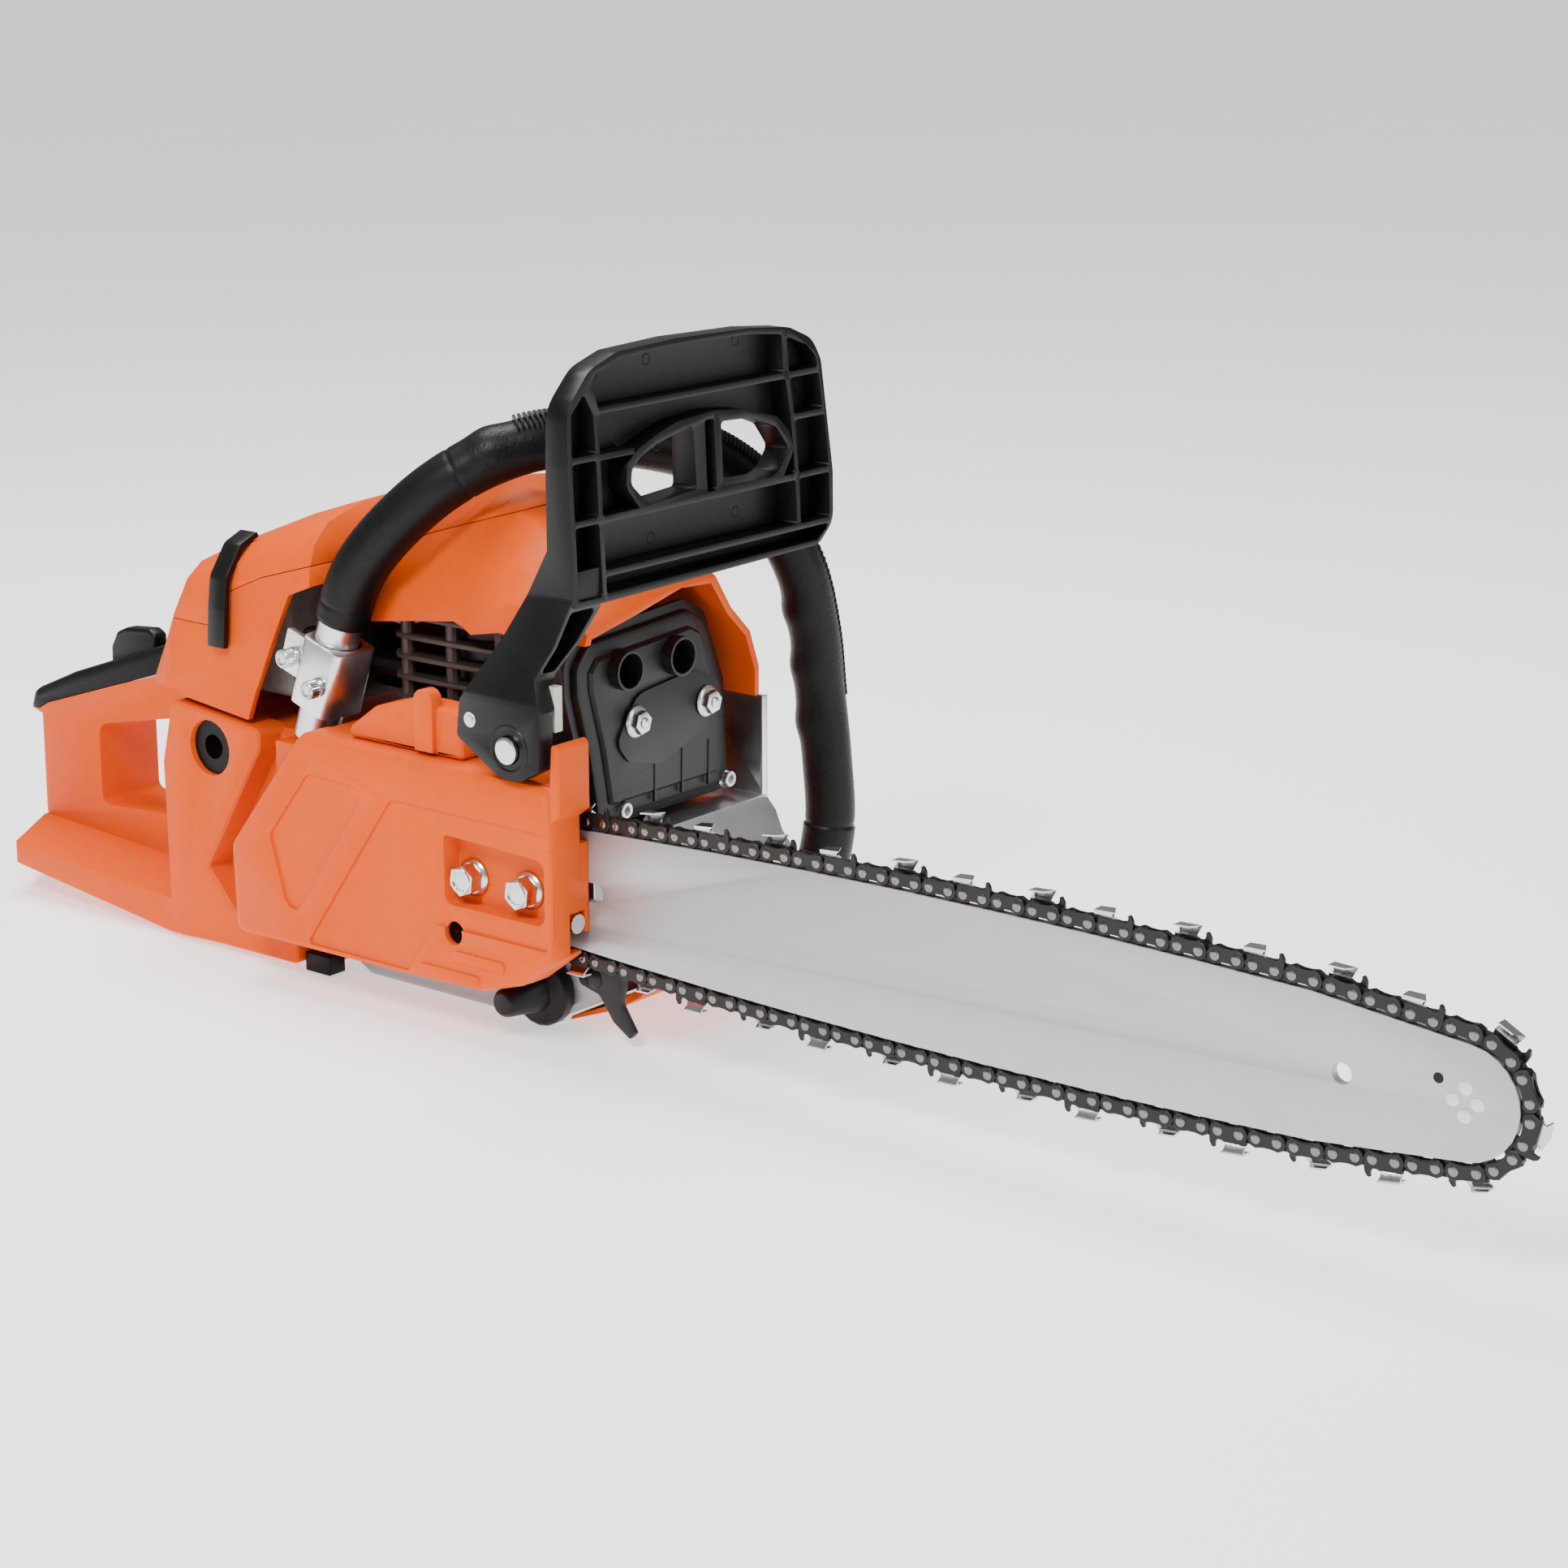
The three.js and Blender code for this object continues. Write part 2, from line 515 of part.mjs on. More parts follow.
function clutchCover() {
  let cover = slab('Y', outline(coverOutline), coverFace, coverFace + 21, { bevel: 4, rounds: 2 });
  const deep = coverOutline.map(([x, z, r]) => [Math.max(x, -42), z, r]);
  deep[1] = [-42, 66];
  deep[2] = [-42, 23.3];
  deep[0] = [-42, 125.8];
  cover = cover.add(slab('Y', outline(deep.map(([x, z]) => [x, z])), coverFace + 8, rightFace - 1.2));
  const hollow = inset(coverOutline, WALL).map(([x, z, r]) => [x, z, r + 1]);
  cover = cut(cover, slab('Y', outline(hollow), coverFace + WALL, -30));
  cover = cut(cover,
    box([88, 120], [drumBack - 1.2, -40], [0, 200]),
    box([44, 120], [drumBack - 1.2, -40], [0, 50]));
  cover = cover.add(box([39, 105.2], [coverFace + 1.5, barY - barThickness / 2 - GAP], [57, 97]));
  const recess = outline([[41.6, 62.5, 4], [100.5, 62.5, 5], [100.5, 92, 5], [41.6, 94, 2]]);
  const panel = outline([[-45, 27, 2], [11, 105, 6], [103, 104.5, 2], [103, 52, 2], [37, 52, 5],
    [19, 27, 2]]);
  const kite = outline([[-41, 108, 4], [-3, 107, 5], [-55, 34, 6], [-67, 75, 4]]);
  cover = cut(cover,
    slab('Y', recess, coverFace - 1, recessFloor),
    slab('Y', panel, coverFace - 1, coverFace + 1.4),
    slab('Y', kite, coverFace - 1, coverFace + 1.4),
    rod('Y', 5.3, coverFace - 1, coverFace + 8, [47.5, 50], 16),
    ...studX.map((x) => rod('Y', studR + 0.6, recessFloor - 1, -60, [x, crankZ], 16)),
    rod('X', 2.4 + RUN, 60, 112, [tensionY, tensionZ], 12),
    box([101.4, 112], [tensionY - 5.4, tensionY + 5], [49, tensionZ + 5.4]));
  const ribs = [[48, 78, 40], [27, 63, 30.5]].map(([from, to, z]) => slab('Y',
    outline([[from, z - 2.4, 2], [to, z - 2.4, 2], [to, z + 2.4, 2], [from, z + 2.4, 2]]),
    coverFace - 1, coverFace + 2));
  const tab = slab('Y', outline([[105.3, 110], [110.5, 114, 2], [110.5, 144, 3], [106.4, 145, 2],
    [105.2, 126]]),
    coverFace + 1, coverFace + 20);
  return union(cover, ribs[0], ribs[1], tab, box([100, 105.5], [coverFace + 1.5, coverFace + 19],
    [110, 125.5]));
}
part('clutch_cover', clutchCover(), 'orange');

function brakeCover() {
  const hump = slab('Y', outline([[-28, 126.4, 3], [48, 126.4, 2], [46, 148, 4], [14, 148.5, 8],
    [-5, 143, 8]]),
    coverFace + 8, coverFace + 24, { bevel: 1.5 });
  const tab = slab('Y', outline([[22, 128], [33, 128], [33, 156, 5], [22, 156, 5]]),
    coverFace + 5, coverFace + 12);
  return hump.add(tab);
}
part('brake_cover', brakeCover(), 'orange');

function brakeBand() {
  const ring = circle(0, crankZ, drumR + 2.2, 36);
  ring.holes.push(circle(0, crankZ, drumR + 0.9, 36));
  return cut(slab('Y', ring, drumBack - 14, drumBack - 3), box([-60, -30], [-90, -60],
    [crankZ - 5, crankZ + 5]));
}
part('brake_band', brakeBand(), 'steel');

['rear', 'front'].forEach((place, i) => {
  part(`bar_stud_${place}`, rod('Y', studR, coverFace + 4.5, rightFace + 3, [studX[i], crankZ], 12),
    'steel');
  const flange = circle(0, 0, 8.6, 20);
  const nut = slab('Y', circle(0, 0, nutR, 6), -9.5, -1.5).add(slab('Y', flange, -1.8, 0));
  const drilled = cut(nut, rod('Y', studR + GAP, -12, 2, [0, 0], 12));
  part(`bar_nut_${place}`, drilled, 'steel').position.set(studX[i], recessFloor - GAP, crankZ);
});

const plateOutline = [[36, 55, 4], [104, 55, 4], [104, 94, 4], [36, 94, 4]];
part('inner_guide_plate', cut(
  slab('Y', outline(plateOutline), padFace - 0.9, padFace - 0.2),
  ...studX.map((x) => rod('Y', studR + GAP, padFace - 3, padFace + 3, [x, crankZ], 12)),
), 'steel');

part('tension_screw', union(
  rod('X', 2.4, 62, 103, [tensionY, tensionZ], 10), rod('X', 4.4, 102, 105.5, [tensionY, tensionZ], 12),
), 'steel');

// ---------------------------------------------------------------- front of the crankcase
part('spike_bumper', cut(
  slab('Y', outline([[86, 38, 3], [113, 36, 3], [112, 27, 3], [110, 20, 4], [118, 8, 1], [115.5, 5, 1],
    [106, 11, 5], [98, 22, 4], [86, 25, 3]]), rightFace - 4, rightFace - GAP),
), 'black');
part('bottom_shield', slab('Y', outline([[68, 0.4, 1], [95, 10.6, 4], [110, 19.5, 4], [118, 27.5, 1],
  [115.5, 29, 1],
  [108, 22.6, 4], [94, 13.4, 4], [70, 2.9, 1]]), -37, 40), 'orange');

function tankCap(side) {
  const turnedCap = turned('Y', [[0, 0], [capR, 0], [capR, 5.5], [capR - 1.5, 7], [9, 7.5], [capGripR, 28],
    [5, 30], [0, 30]],
    [0, 0], 20);
  return side < 0 ? turnedBy(turnedCap, 'X', Math.PI) : turnedCap;
}
part('oil_cap', tankCap(-1), 'black').position.set(oilFillerX, rightFace - GAP, fillerZ);

// ---------------------------------------------------------------- rear housing, grip and controls
const tankLeft = 60;
const tankRight = -64;
const tankFront = -66;
const fuelFiller = [-116, 62];
const shift = rearReach - 310; // the rear handle moves with its reach
const back = (x) => x - shift;

// The upper edge of the orange handle, under the grip.
const handleTop = [[back(-309.5), 83], [back(-302), 87.2], [back(-250), 104], [back(-208.7), 116.8],
  [-176, 127.5]];

function handleFrame() {
  const outer = [[-150, 4], [back(-300), 18, 8], [back(-310), 27, 6], [back(-309.5), 79.5], [back(-317.5),
    82],
    [back(-314), 92.5, 7], [back(-283), 105.8, 8], [back(-229), 124.4, 8], [-196, 136, 8], [-172, 143],
      [-150, 143]];
  const opening = [[back(-263.6), 42, 6], [back(-258), 40.5, 4], [-174, 45.5, 6], [-174, 100.5, 6],
    [back(-210), 93, 4], [back(-263.6), 82, 7]];
  const frame = slab('Y', outline(outer, 0), -handleHalf, handleHalf, { bevel: 4, rounds: 2 });
  return cut(frame, slab('Y', outline(opening), -handleHalf - 2, handleHalf + 2));
}

// Everything of the handle that lies above the orange edge.
const gripRegion = (lift) => slab('Y', outline([
  ...handleTop.map(([x, z]) => [x, z + lift]), [-176, 170], [back(-330), 170], [back(-330), 83 + lift]]),
    -40, 40);

function footPlate() {
  const side = outline([[-150, 2, 2], [-167, 2, 4], [back(-284), 16.5, 3], [back(-309), 20, 3],
    [back(-309), 28, 2],
    [-178, 19.5, 3], [-150, 18]]);
  const plan = outline([[-150, -62], [back(-282), -62, 6], [back(-309), -18, 6], [back(-309), 16, 6],
    [-150, 30]]);
  return slab('Y', side, -62, 30, { bevel: 0 }).intersect(slab('Z', plan, -5, 60));
}

const holeX = -132; // rubber buffer in the side panel
const holeZ = 100;
const panelOutline = [[-158, 119.5, 4], [-98, 113.5, 4], [-98.5, 104, 4], [-137, 41, 2], [-121, 23, 3],
  [-78, 21, 2],
  [-78, 3.5, 3], [-136, 3.2, 6], [-165, 1.8, 6], [-165.5, 70, 4], [-166, 88, 4]];

// The space the upper covers take, above their lower edge.
const underCovers = slab('Y', outline([[-178, 125.6], [-160, 124.6], [-151.5, 121.6], [-140, 120],
  [-140, 200],
  [-178, 200]]), -30, 30);

function rearHousing() {
  const tank = slab('Y', outline([[-166, 2, 5], [tankFront, 2, 5], [tankFront, 112, 5], [-164, 112, 5]]),
    -50, tankLeft, { bevel: 3 });
  const panel = slab('Y', outline(panelOutline), tankRight, -45, { bevel: 1.2 });
  const seat = box([-88, tankFront + 4], [tankRight + 1, -44], [96, 110.4]);
  const lug = box([-92, tankFront], [tankLeft - 8, tankLeft + 20], [1, 25]);
  const frame = cut(handleFrame(), gripRegion(0), underCovers);
  const fuelTank = box([-160, tankFront - 6], [-44, tankLeft - 6], [8, 96]);
  const filler = rod('Y', 11, tankLeft - 8, tankLeft + 2, fuelFiller, 20);
  const triggerSlot = box([-203, -172.5], [-6, 6], [90, 112]);
  const switchSlot = box([-150, -144], [tankLeft - 6, tankLeft + 2], [101, 105]);
  return cut(union(tank, panel, seat, lug, frame, footPlate()),
    fuelTank,
    filler,
    triggerSlot,
    switchSlot,
    rod('Y', 13.4, tankRight - 2, tankRight + 14, [holeX, holeZ], 24));
}
part('rear_housing', rearHousing(), 'orange');

function rearGrip() {
  const grip = handleFrame().intersect(gripRegion(GAP));
  return cut(grip, box([back(-274), back(-233)], [-6.2, 6.2], [80, 160]), box([-177, -120], [-50, 50],
    [60, 200]));
}
part('rear_grip', rearGrip(), 'rubber');

part('throttle_lockout', slab('Y', outline([[back(-269), 108.5, 2], [back(-235), 117.5, 2], [back(-235),
  129, 3],
  [back(-240), 131.5, 3], [back(-257), 130, 4], [back(-264), 127, 4], [back(-268.6), 119, 3]]), -4.5, 4.5,
{ bevel: 1.2 }), 'black');

part('throttle_trigger', slab('Y', outline([[-177, 96, 2], [-177, 109, 2], [-190, 107, 2], [-196, 92, 3],
  [-203, 76, 5],
  [-199, 70, 3], [-192, 74, 4], [-184, 88, 5]]), -4.6, 4.6, { bevel: 1 }), 'black');

function bufferRing(length) {
  const ring = circle(0, 0, 12.8, 24);
  ring.holes.push(circle(0, 0, 6, 16));
  return slab('Y', ring, 0, length);
}
part('buffer_rear', bufferRing(11), 'rubber').position.set(holeX, tankRight + 2.6, holeZ);
part('buffer_lower', rod('X', 10, tankFront + GAP, -60 - GAP, [10, 40], 20), 'rubber');
part('rubber_foot', box([-76, -60], [-61, -50 - GAP], [0.6, 10]), 'rubber');

part('fuel_cap', tankCap(1), 'black').position.set(fuelFiller[0], tankLeft + GAP, fuelFiller[1]);
part('stop_switch', union(box([-156, -144.6], [tankLeft + GAP, tankLeft + 3.6], [97, 109]),
  box([-149.2, -147], [tankLeft - 4, tankLeft + 1], [101.6, 104.4])), 'black');

// ---------------------------------------------------------------- carburettor side, inside the covers
part('carburettor', cut(
  union(box([-98, -74], [-20, 20], [124, 160]), rod('Y', 5, 19, 26, [-86, 132], 12)),
  rod('X', 8, -100, -70, [0, 142], 20),
), 'aluminium');
const bootRing = circle(0, 142, 15, 24);
bootRing.holes.push(circle(0, 142, 9, 24));
part('intake_boot', slab('X', bootRing, -73.6, -40 - GAP), 'rubber');
part('air_filter', slab('X', outline([[-42, 124, 6], [42, 124, 6], [42, 178, 8], [-42, 178, 8]]),
  -150, -98.5,
  { bevel: 2 }), 'rubber');

// ---------------------------------------------------------------- upper covers
const coverBase = 108;
const roof = [[-176, 128], [-166, 155], [-159, 176], [-152, 190], [-134, 197], [-96, 212], [-50, 226],
  [5, 234],
  [40, 225], [92, 196]]; // height of the ridge along X

// Sections across the covers: [y, share of the ridge's height], from the right edge to the left one.
const rearSection = [[-1, 0], [-1, 0.34], [-0.944, 0.76], [-0.887, 0.85], [-0.742, 0.93], [-0.403, 0.985],
  [0, 1],
  [0.403, 0.985], [0.742, 0.93], [0.887, 0.85], [0.944, 0.76], [1, 0.34],
    [1, 0]].map(([y, t]) => [y * housingHalf, t]);
const frontLeft = [[18, 1], [39, 0.985], [50, 0.8], [63.5, 0.65], [70, 0.45], [70, 0]];
const sections = [
  [-176, rearSection],
  [-66, rearSection],
  [-57, [[-41, 0], [-41, 0.34], [-40.5, 0.6], [-39.5, 0.7], [-30, 0.82], [-20, 0.9], [0, 1],
    [22, 0.99], [41, 0.96], [52, 0.82], [62, 0.68], [68, 0.42], [68, 0]]],
  [-20, [[-41, 0], [-41, 0.34], [-41, 0.55], [-40, 0.62], [-31, 0.74], [-21, 0.84], [0, 0.99],
    ...frontLeft]],
  [14, [[-44, 0], [-44, 0.34], [-44, 0.52], [-43, 0.585], [-33, 0.76], [-22, 0.91], [0, 1], ...frontLeft]],
  [31, [[-50, 0], [-50, 0.34], [-50, 0.55], [-49, 0.615], [-37, 0.8], [-23, 0.985], [0, 1], ...frontLeft]],
  [51, [[-54, 0], [-54, 0.4], [-54, 0.64], [-52, 0.757], [-40, 0.86], [-22, 0.965], [0, 1], ...frontLeft]],
  [92, [[-50, 0], [-50, 0.7], [-50, 0.78], [-48, 0.852], [-36, 0.88], [-18, 0.92], [0, 0.96],
    ...frontLeft]],
];

// The two entries of a table on either side of a place, and how far the place lies between them.
function between(table, x) {
  const next = THREE.MathUtils.clamp(table.findIndex((entry) => entry[0] >= x), 1, table.length - 1);
  const [from, to] = [table[next - 1], table[next]];
  return { from: from[1], to: to[1], share: THREE.MathUtils.clamp((x - from[0]) / (to[0] - from[0]),
    0, 1) };
}

// Points of the covers' section at a place along X, or of their inner side a wall's thickness within.
function sectionAt(x, thin) {
  const { from, to, share } = between(sections, x);
  const ridge = between(roof, thin && x < -150 ? x - thin : x);
  const height = THREE.MathUtils.lerp(ridge.from, ridge.to, ridge.share) - thin - coverBase;
  return from.map(([y, t], i) => {
    const across = THREE.MathUtils.lerp(y, to[i][0], share);
    const up = THREE.MathUtils.lerp(t, to[i][1], share);
    return [across - Math.sign(across) * Math.min(thin, Math.abs(across) / 6),
      coverBase + up * height - (up === 0 ? 4 * Math.sign(thin) : 0)];
  });
}

// The space under the covers' outer or inner side between two places along X.
function canopy(start, end, thin = 0) {
  const stops = [...roof, ...sections].map(([x]) => x).filter((x) => x > start && x < end);
  const places = [...new Set([start, ...stops, end])].sort((a, b) => a - b);
  const first = sectionAt(start, thin);
  const geometry = new THREE.ExtrudeGeometry(new THREE.Shape(first.map((point) => new THREE.Vector2(...point))),
    { depth: places.length - 1, steps: places.length - 1, bevelEnabled: false });
  const position = geometry.attributes.position;
  for (let i = 0; i < position.count; i++) {
    const x = places[Math.round(position.getZ(i))];
    const corner = first.findIndex(([y, z]) => Math.hypot(y - position.getX(i),
      z - position.getY(i)) < 1e-3);
    position.setXYZ(i, x, ...sectionAt(x, thin)[corner]);
  }
  return solid(geometry);
}

const upperShell = () => cut(canopy(-176, 92), canopy(-176 + WALL, 96, WALL));

// Side view of the lower edge of the covers, on the right and on the left.
const rightEdge = [[-190, 126], [-160, 125], [-151.5, 122], [-107, 117], [-101.6, 130.5], [-97, 139.4],
  [-88.4, 160],
  [-79.7, 179.4], [-62, 186.5], [-56, 169], [-44, 169], [8, 176.5], [22, 173], [44, 178], [110, 178]];
const leftEdge = [[-190, 126], [-160, 125], [-151.5, 122], [-107, 117], [-97, 134], [110, 134]];
const belowEdge = (edge, from, to) => slab('Y', outline([[110, 90], [-190, 90], ...edge]), from, to);
const parting = [[-200, 158], [-123, 158], [-119, 176], [-98, 185], [-53, 198], [-22, 210], [34, 227],
  [40, 245]];
const abovePart = (lift) => slab('Y', outline([...parting.map(([x, z]) => [x, z + lift]), [-200, 260]]),
  -90, 90);

const trimmed = cut(upperShell(), belowEdge(rightEdge, -90, 0), belowEdge(leftEdge, 0, 90));
part('engine_cover', cut(trimmed, abovePart(0), rod('X', 4, -190, -140, [30, 143], 16)), 'orange');
part('filter_cover', trimmed.intersect(abovePart(GAP)), 'orange');

part('choke_knob', union(rod('X', 3, -176, -155, [30, 143], 12),
  turned('X', [[0, -186], [7, -186], [8, -184], [8, -179], [5, -175.5], [0, -175.5]], [30, 143], 16)),
    'black');

function latch(side) {
  const strip = outline([[66.4, 150, 1], [65, 168, 3], [63, 183, 6], [53, 197.5, 6], [42, 202, 1],
    [41, 199.5],
    [51.5, 195, 6], [60.4, 181.5, 5], [61.8, 168, 3], [63, 150]].map(([y, z, r]) => [side * y, z, r]));
  return slab('X', strip, -128, -117);
}
part('filter_latch_right', latch(-1), 'black');
part('filter_latch_left', latch(1), 'black');

// ---------------------------------------------------------------- muffler and heat shield
const mufflerOutline = [[-37, 179, 8], [-48, 167, 8], [-47.5, 152, 8], [-40, 125, 8], [-36, 104, 8],
  [-34, 89, 6],
  [64, 89, 6], [61, 142, 12], [47, 176, 9], [34, 183, 9]];

function muffler() {
  const flange = slab('X', outline(mufflerOutline), mufflerFront - 9, mufflerFront - 6);
  const body = slab('X', outline(inset(mufflerOutline, 4).map(([y, z, r]) => [y, z, r + 4])),
    mufflerBack, mufflerFront - 2,
    { bevel: 2.5, rounds: 2 });
  const face = inset(mufflerOutline, 11).map(([y, z, r]) => [y, z, r + 2]);
  const raised = slab('X', outline(face), mufflerFront - 8, mufflerFront, { bevel: 1.5 });
  const lens = slab('X', outline([[-22, 128, 6], [-8, 148, 12], [30, 152, 12], [55, 143, 8],
    [40, 124, 12], [8, 113, 12],
    [-14, 118, 8]]), mufflerFront - 4, mufflerFront + 1.5);
  const outlets = [-17, 19].map((y) => rod('X', outletR, mufflerFront - 6, mufflerFront + 6, [y, 161]));
  const bores = [-17, 19].map((y) => rod('X', outletR - 1.2, mufflerFront - 26, mufflerFront + 8, [y,
    161]));
  const chamber = slab('X', outline(inset(mufflerOutline, 8)), mufflerBack + 3, mufflerFront - 4);
  return cut(union(flange, body, raised, lens, outlets[0], outlets[1]), chamber, ...bores);
}
part('muffler', muffler(), 'darkMetal');

[['right', -9], ['left', 40]].forEach(([side, y]) => {
  const head = union(rod('X', 7.4, 0, 1.6, [0, 0], 20), slab('X', circle(0, 0, 5.6, 6), 1.4, 6));
  part(`muffler_bolt_${side}`, head, 'steel').position.set(mufflerFront + 1.5 + GAP, y, 136);
});

part('heat_shield', union(
  box([mufflerBack + 1, 93], [73.6, 75], [shieldZ, 133]),
  slab('Y', outline([[mufflerBack + 1, shieldZ], [91, shieldZ], [97, 78], [101, 69], [108, 61], [109, 62],
    [102, 70],
    [98, 79.2], [92, shieldZ + 1.4], [mufflerBack + 1, shieldZ + 1.4]]), -8, 75),
), 'aluminium');

// ---------------------------------------------------------------- front handle
const handlePoints = [[-70, -54, 114.4], [-67.7, -54, 121.2], [-51.2, -54, 170.1], [-39.6, -52, 196.4],
  [-17.4, -42, 223.8], [2.8, -28, 241.7], [22.3, -8, 252.4], [38.3, 18, 253.9], [50.4, 43, 250], [62.9, 68, 240.6],
  [73.7, 90, 221.8], [84.7, 108, 188.4], [86.6, 118, 156], [86.7, 123, 123.8], [89.2, 125, 91.7],
  [90.8, 125, 59.9], [87, 119, 34], [74, 104, 17], [50, 84, 13], [20, 72, 13], [-20, 69, 13],
  [tankFront + GAP, 69, 13]].map(([x, y, z]) => {
  const out = z > 100 ? sleeveOut : 0;
  return new THREE.Vector3(x, y < 0 ? y - out : y + out, z > 180 ? z + out : z);
});
const handleCurve = new THREE.CatmullRomCurve3(handlePoints, false, 'centripetal');
const handleSteps = 48;

// A stretch of the handle, cut at whole steps so that tube and sleeve bend at the same places.
class Stretch extends THREE.Curve {
  constructor(from, to) {
    super();
    this.from = from / handleSteps;
    this.to = to / handleSteps;
  }

  getPoint(t) {
    return handleCurve.getPointAt(this.from + (this.to - this.from) * t);
  }
}

function alongHandle(shape, from, to) {
  return solid(new THREE.ExtrudeGeometry(shape,
    { steps: to - from, extrudePath: new Stretch(from, to), bevelEnabled: false }));
}
part('front_handle', alongHandle(circle(0, 0, tubeR, 12), 0, handleSteps), 'aluminium');
const sleeveShape = circle(0, 0, sleeveR, 14);
sleeveShape.holes.push(circle(0, 0, tubeR + 0.75, 14));
part('handle_sleeve', alongHandle(sleeveShape, 5, 34), 'rubber');

const clampGroup = new THREE.Group();
clampGroup.position.set(-59, -54 - sleeveOut, 147);
clampGroup.rotation.y = Math.atan2(16.5, 48.9);
saw.add(clampGroup);
const clampShape = outline([[-10, -13, 4], [14, -13, 4], [14, 12, 3], [-13, 12, 3]]);
clampShape.holes.push(circle(0, 0, tubeR + 0.9, 16));
part('handle_clamp', union(slab('Z', clampShape, -18, 15), box([-22, -9], [-10, -6], [-8, 12])),
  'aluminium', clampGroup);
const screwHead = cut(rod('Y', 4.6, -7.6, 0, [0, 0], 14), slab('Y', circle(0, 0, 2.2, 6), -8.6, -4));
part('clamp_screw_rear', screwHead, 'steel', clampGroup).position.set(-14.9, -10 - GAP, 1);
part('clamp_screw_front', screwHead, 'steel', clampGroup).position.set(6, -13 - GAP, -4);

// ---------------------------------------------------------------- hand guard and chain brake lever
const guardGroup = new THREE.Group();
guardGroup.position.set(pivotX, 0, pivotZ);
saw.add(guardGroup);

const guardBottom = 60; // panel's lower edge above the pivot
const guardBack = 14.5; // panel's back ahead of the pivot
const rib = 2.6;
const skin = 2.5;
const guardDepth = 15.5; // ribs at the panel's lower edge
const guardTopDepth = 10.4;
const guardRight = -82;
const guardLeft = guardRight + guardWidth;

// A slab of the panel, given by its outline in [y, height above the panel's lower edge].
const panelSlab = (points, from = skin, to = guardDepth + 2, radius = 1.5) =>
  slab('X', outline(points, radius), from, to);

function guardPanel() {
  const top = guardHeight;
  const [right, left] = [guardRight, guardLeft];
  const frame = [[right, 3, 2], [right, 62, 8], [right + 1, top - 22, 16], [right + 16, top - 7, 18],
    [right + 34, top - 1.5, 12], [-10, top, 8], [40, top - 1, 8], [left - 28, top - 3.5, 14],
    [left - 12, top - 10, 14], [left - 6, top - 20, 10], [left - 3, 62, 8], [left, 37, 8],
      [left - 1, 14, 10],
    [left - 12, 5, 10], [right + 20, 3, 2]];
  const column = right + 17.7; // inner edge of the cells above the arm
  const middle = column + rib;
  const side = left - 24.7; // inner edge of the cells on the left
  const cells = [
    [[right + rib, 5.6], [column, 5.6], [column, 36.7], [right + rib, 36.7]],
    [[right + rib, 39.3], [column, 39.3], [column, 63.2], [right + rib, 63.2]],
    [[right + rib, 65.8], [column, 65.8], [column - 0.5, 82], [right + 12, top - 16.5],
      [right + 3.6, top - 24]],
    [[middle, 6.5], [left - 13, 7.2], [left - 6, 11.5], [left - 5, 13.7], [middle, 13.7]],
    [[middle, 16.3], [side - rib, 16.3], [side - rib, 36.4], [middle, 36.4]],
    [[middle, 84.8], [middle - 3, top - 13, 3], [middle, top - 8.5, 4], [middle + 15, top - 4.4],
      [-10, top - rib],
      [40, top - 3.6], [side - 9, top - 6], [side - 8.6, 84.8]],
    [[side, 16.3], [left - 3.6, 16.3], [left - rib, 36.7], [side, 36.7]],
    [[side - 0.1, 39.3], [left - 2.8, 39.3], [left - 4.8, 63.2], [side - 1.7, 63.2]],
    [[side - 1.9, 65.8], [left - 6, 65.8], [left - 8, 82.2], [side - 4.3, 82.2]],
    [[side - 4.7, 84.8], [left - 8.6, 84.8], [left - 10, top - 18, 4], [left - 16, top - 12.5, 6],
      [side - 5.7, top - 7.1]],
  ];
  const eye = [[-46, 49, 6], [-45, 59, 5], [-38, 64, 8], [-26, 68.5, 8], [-12, 72.5, 8], [14, 74.3, 8],
    [33, 72.5, 8],
    [57, 66.5, 8], [66, 58, 6], [68, 50, 5], [60, 39, 6], [56, 37, 3], [-36, 37, 6]];
  const around = cut(panelSlab([[middle, 39.3], [side - rib, 39.3], [side - 4.5, 66], [side - 7.2, 82.2],
    [middle, 82.2]]),
    panelSlab(eye, 0, guardDepth + 3), box([0, guardDepth + 3], [middle - 1, -40], [62.7, 65.3]));
  const windows = [
    [[-43, 50, 4], [-42, 56, 4], [-36, 61, 5], [-25, 65, 8], [-1, 70, 2], [0, 42, 2], [-32, 40, 5]],
    [[18, 41, 2], [18, 69, 2], [40, 68, 8], [56, 62, 6], [65, 51, 3], [57, 42, 4], [51, 40, 4]],
  ];
  return cut(panelSlab(frame, 0, guardDepth),
    ...cells.map((points) => panelSlab(points)),
    around,
    ...windows.map((points) => panelSlab(points, -2)),
    panelSlab([[7, 39.5], [13.5, 39.5], [13.5, 71], [7, 71]]),
    slab('Y', outline([[guardDepth, 0], [guardDepth + 9, 0], [guardDepth + 9, top + 1],
      [guardTopDepth, top + 1]]),
      right - 1, left + 1));
}

const linkX = [10, 17.5]; // pale block that pushes on the brake

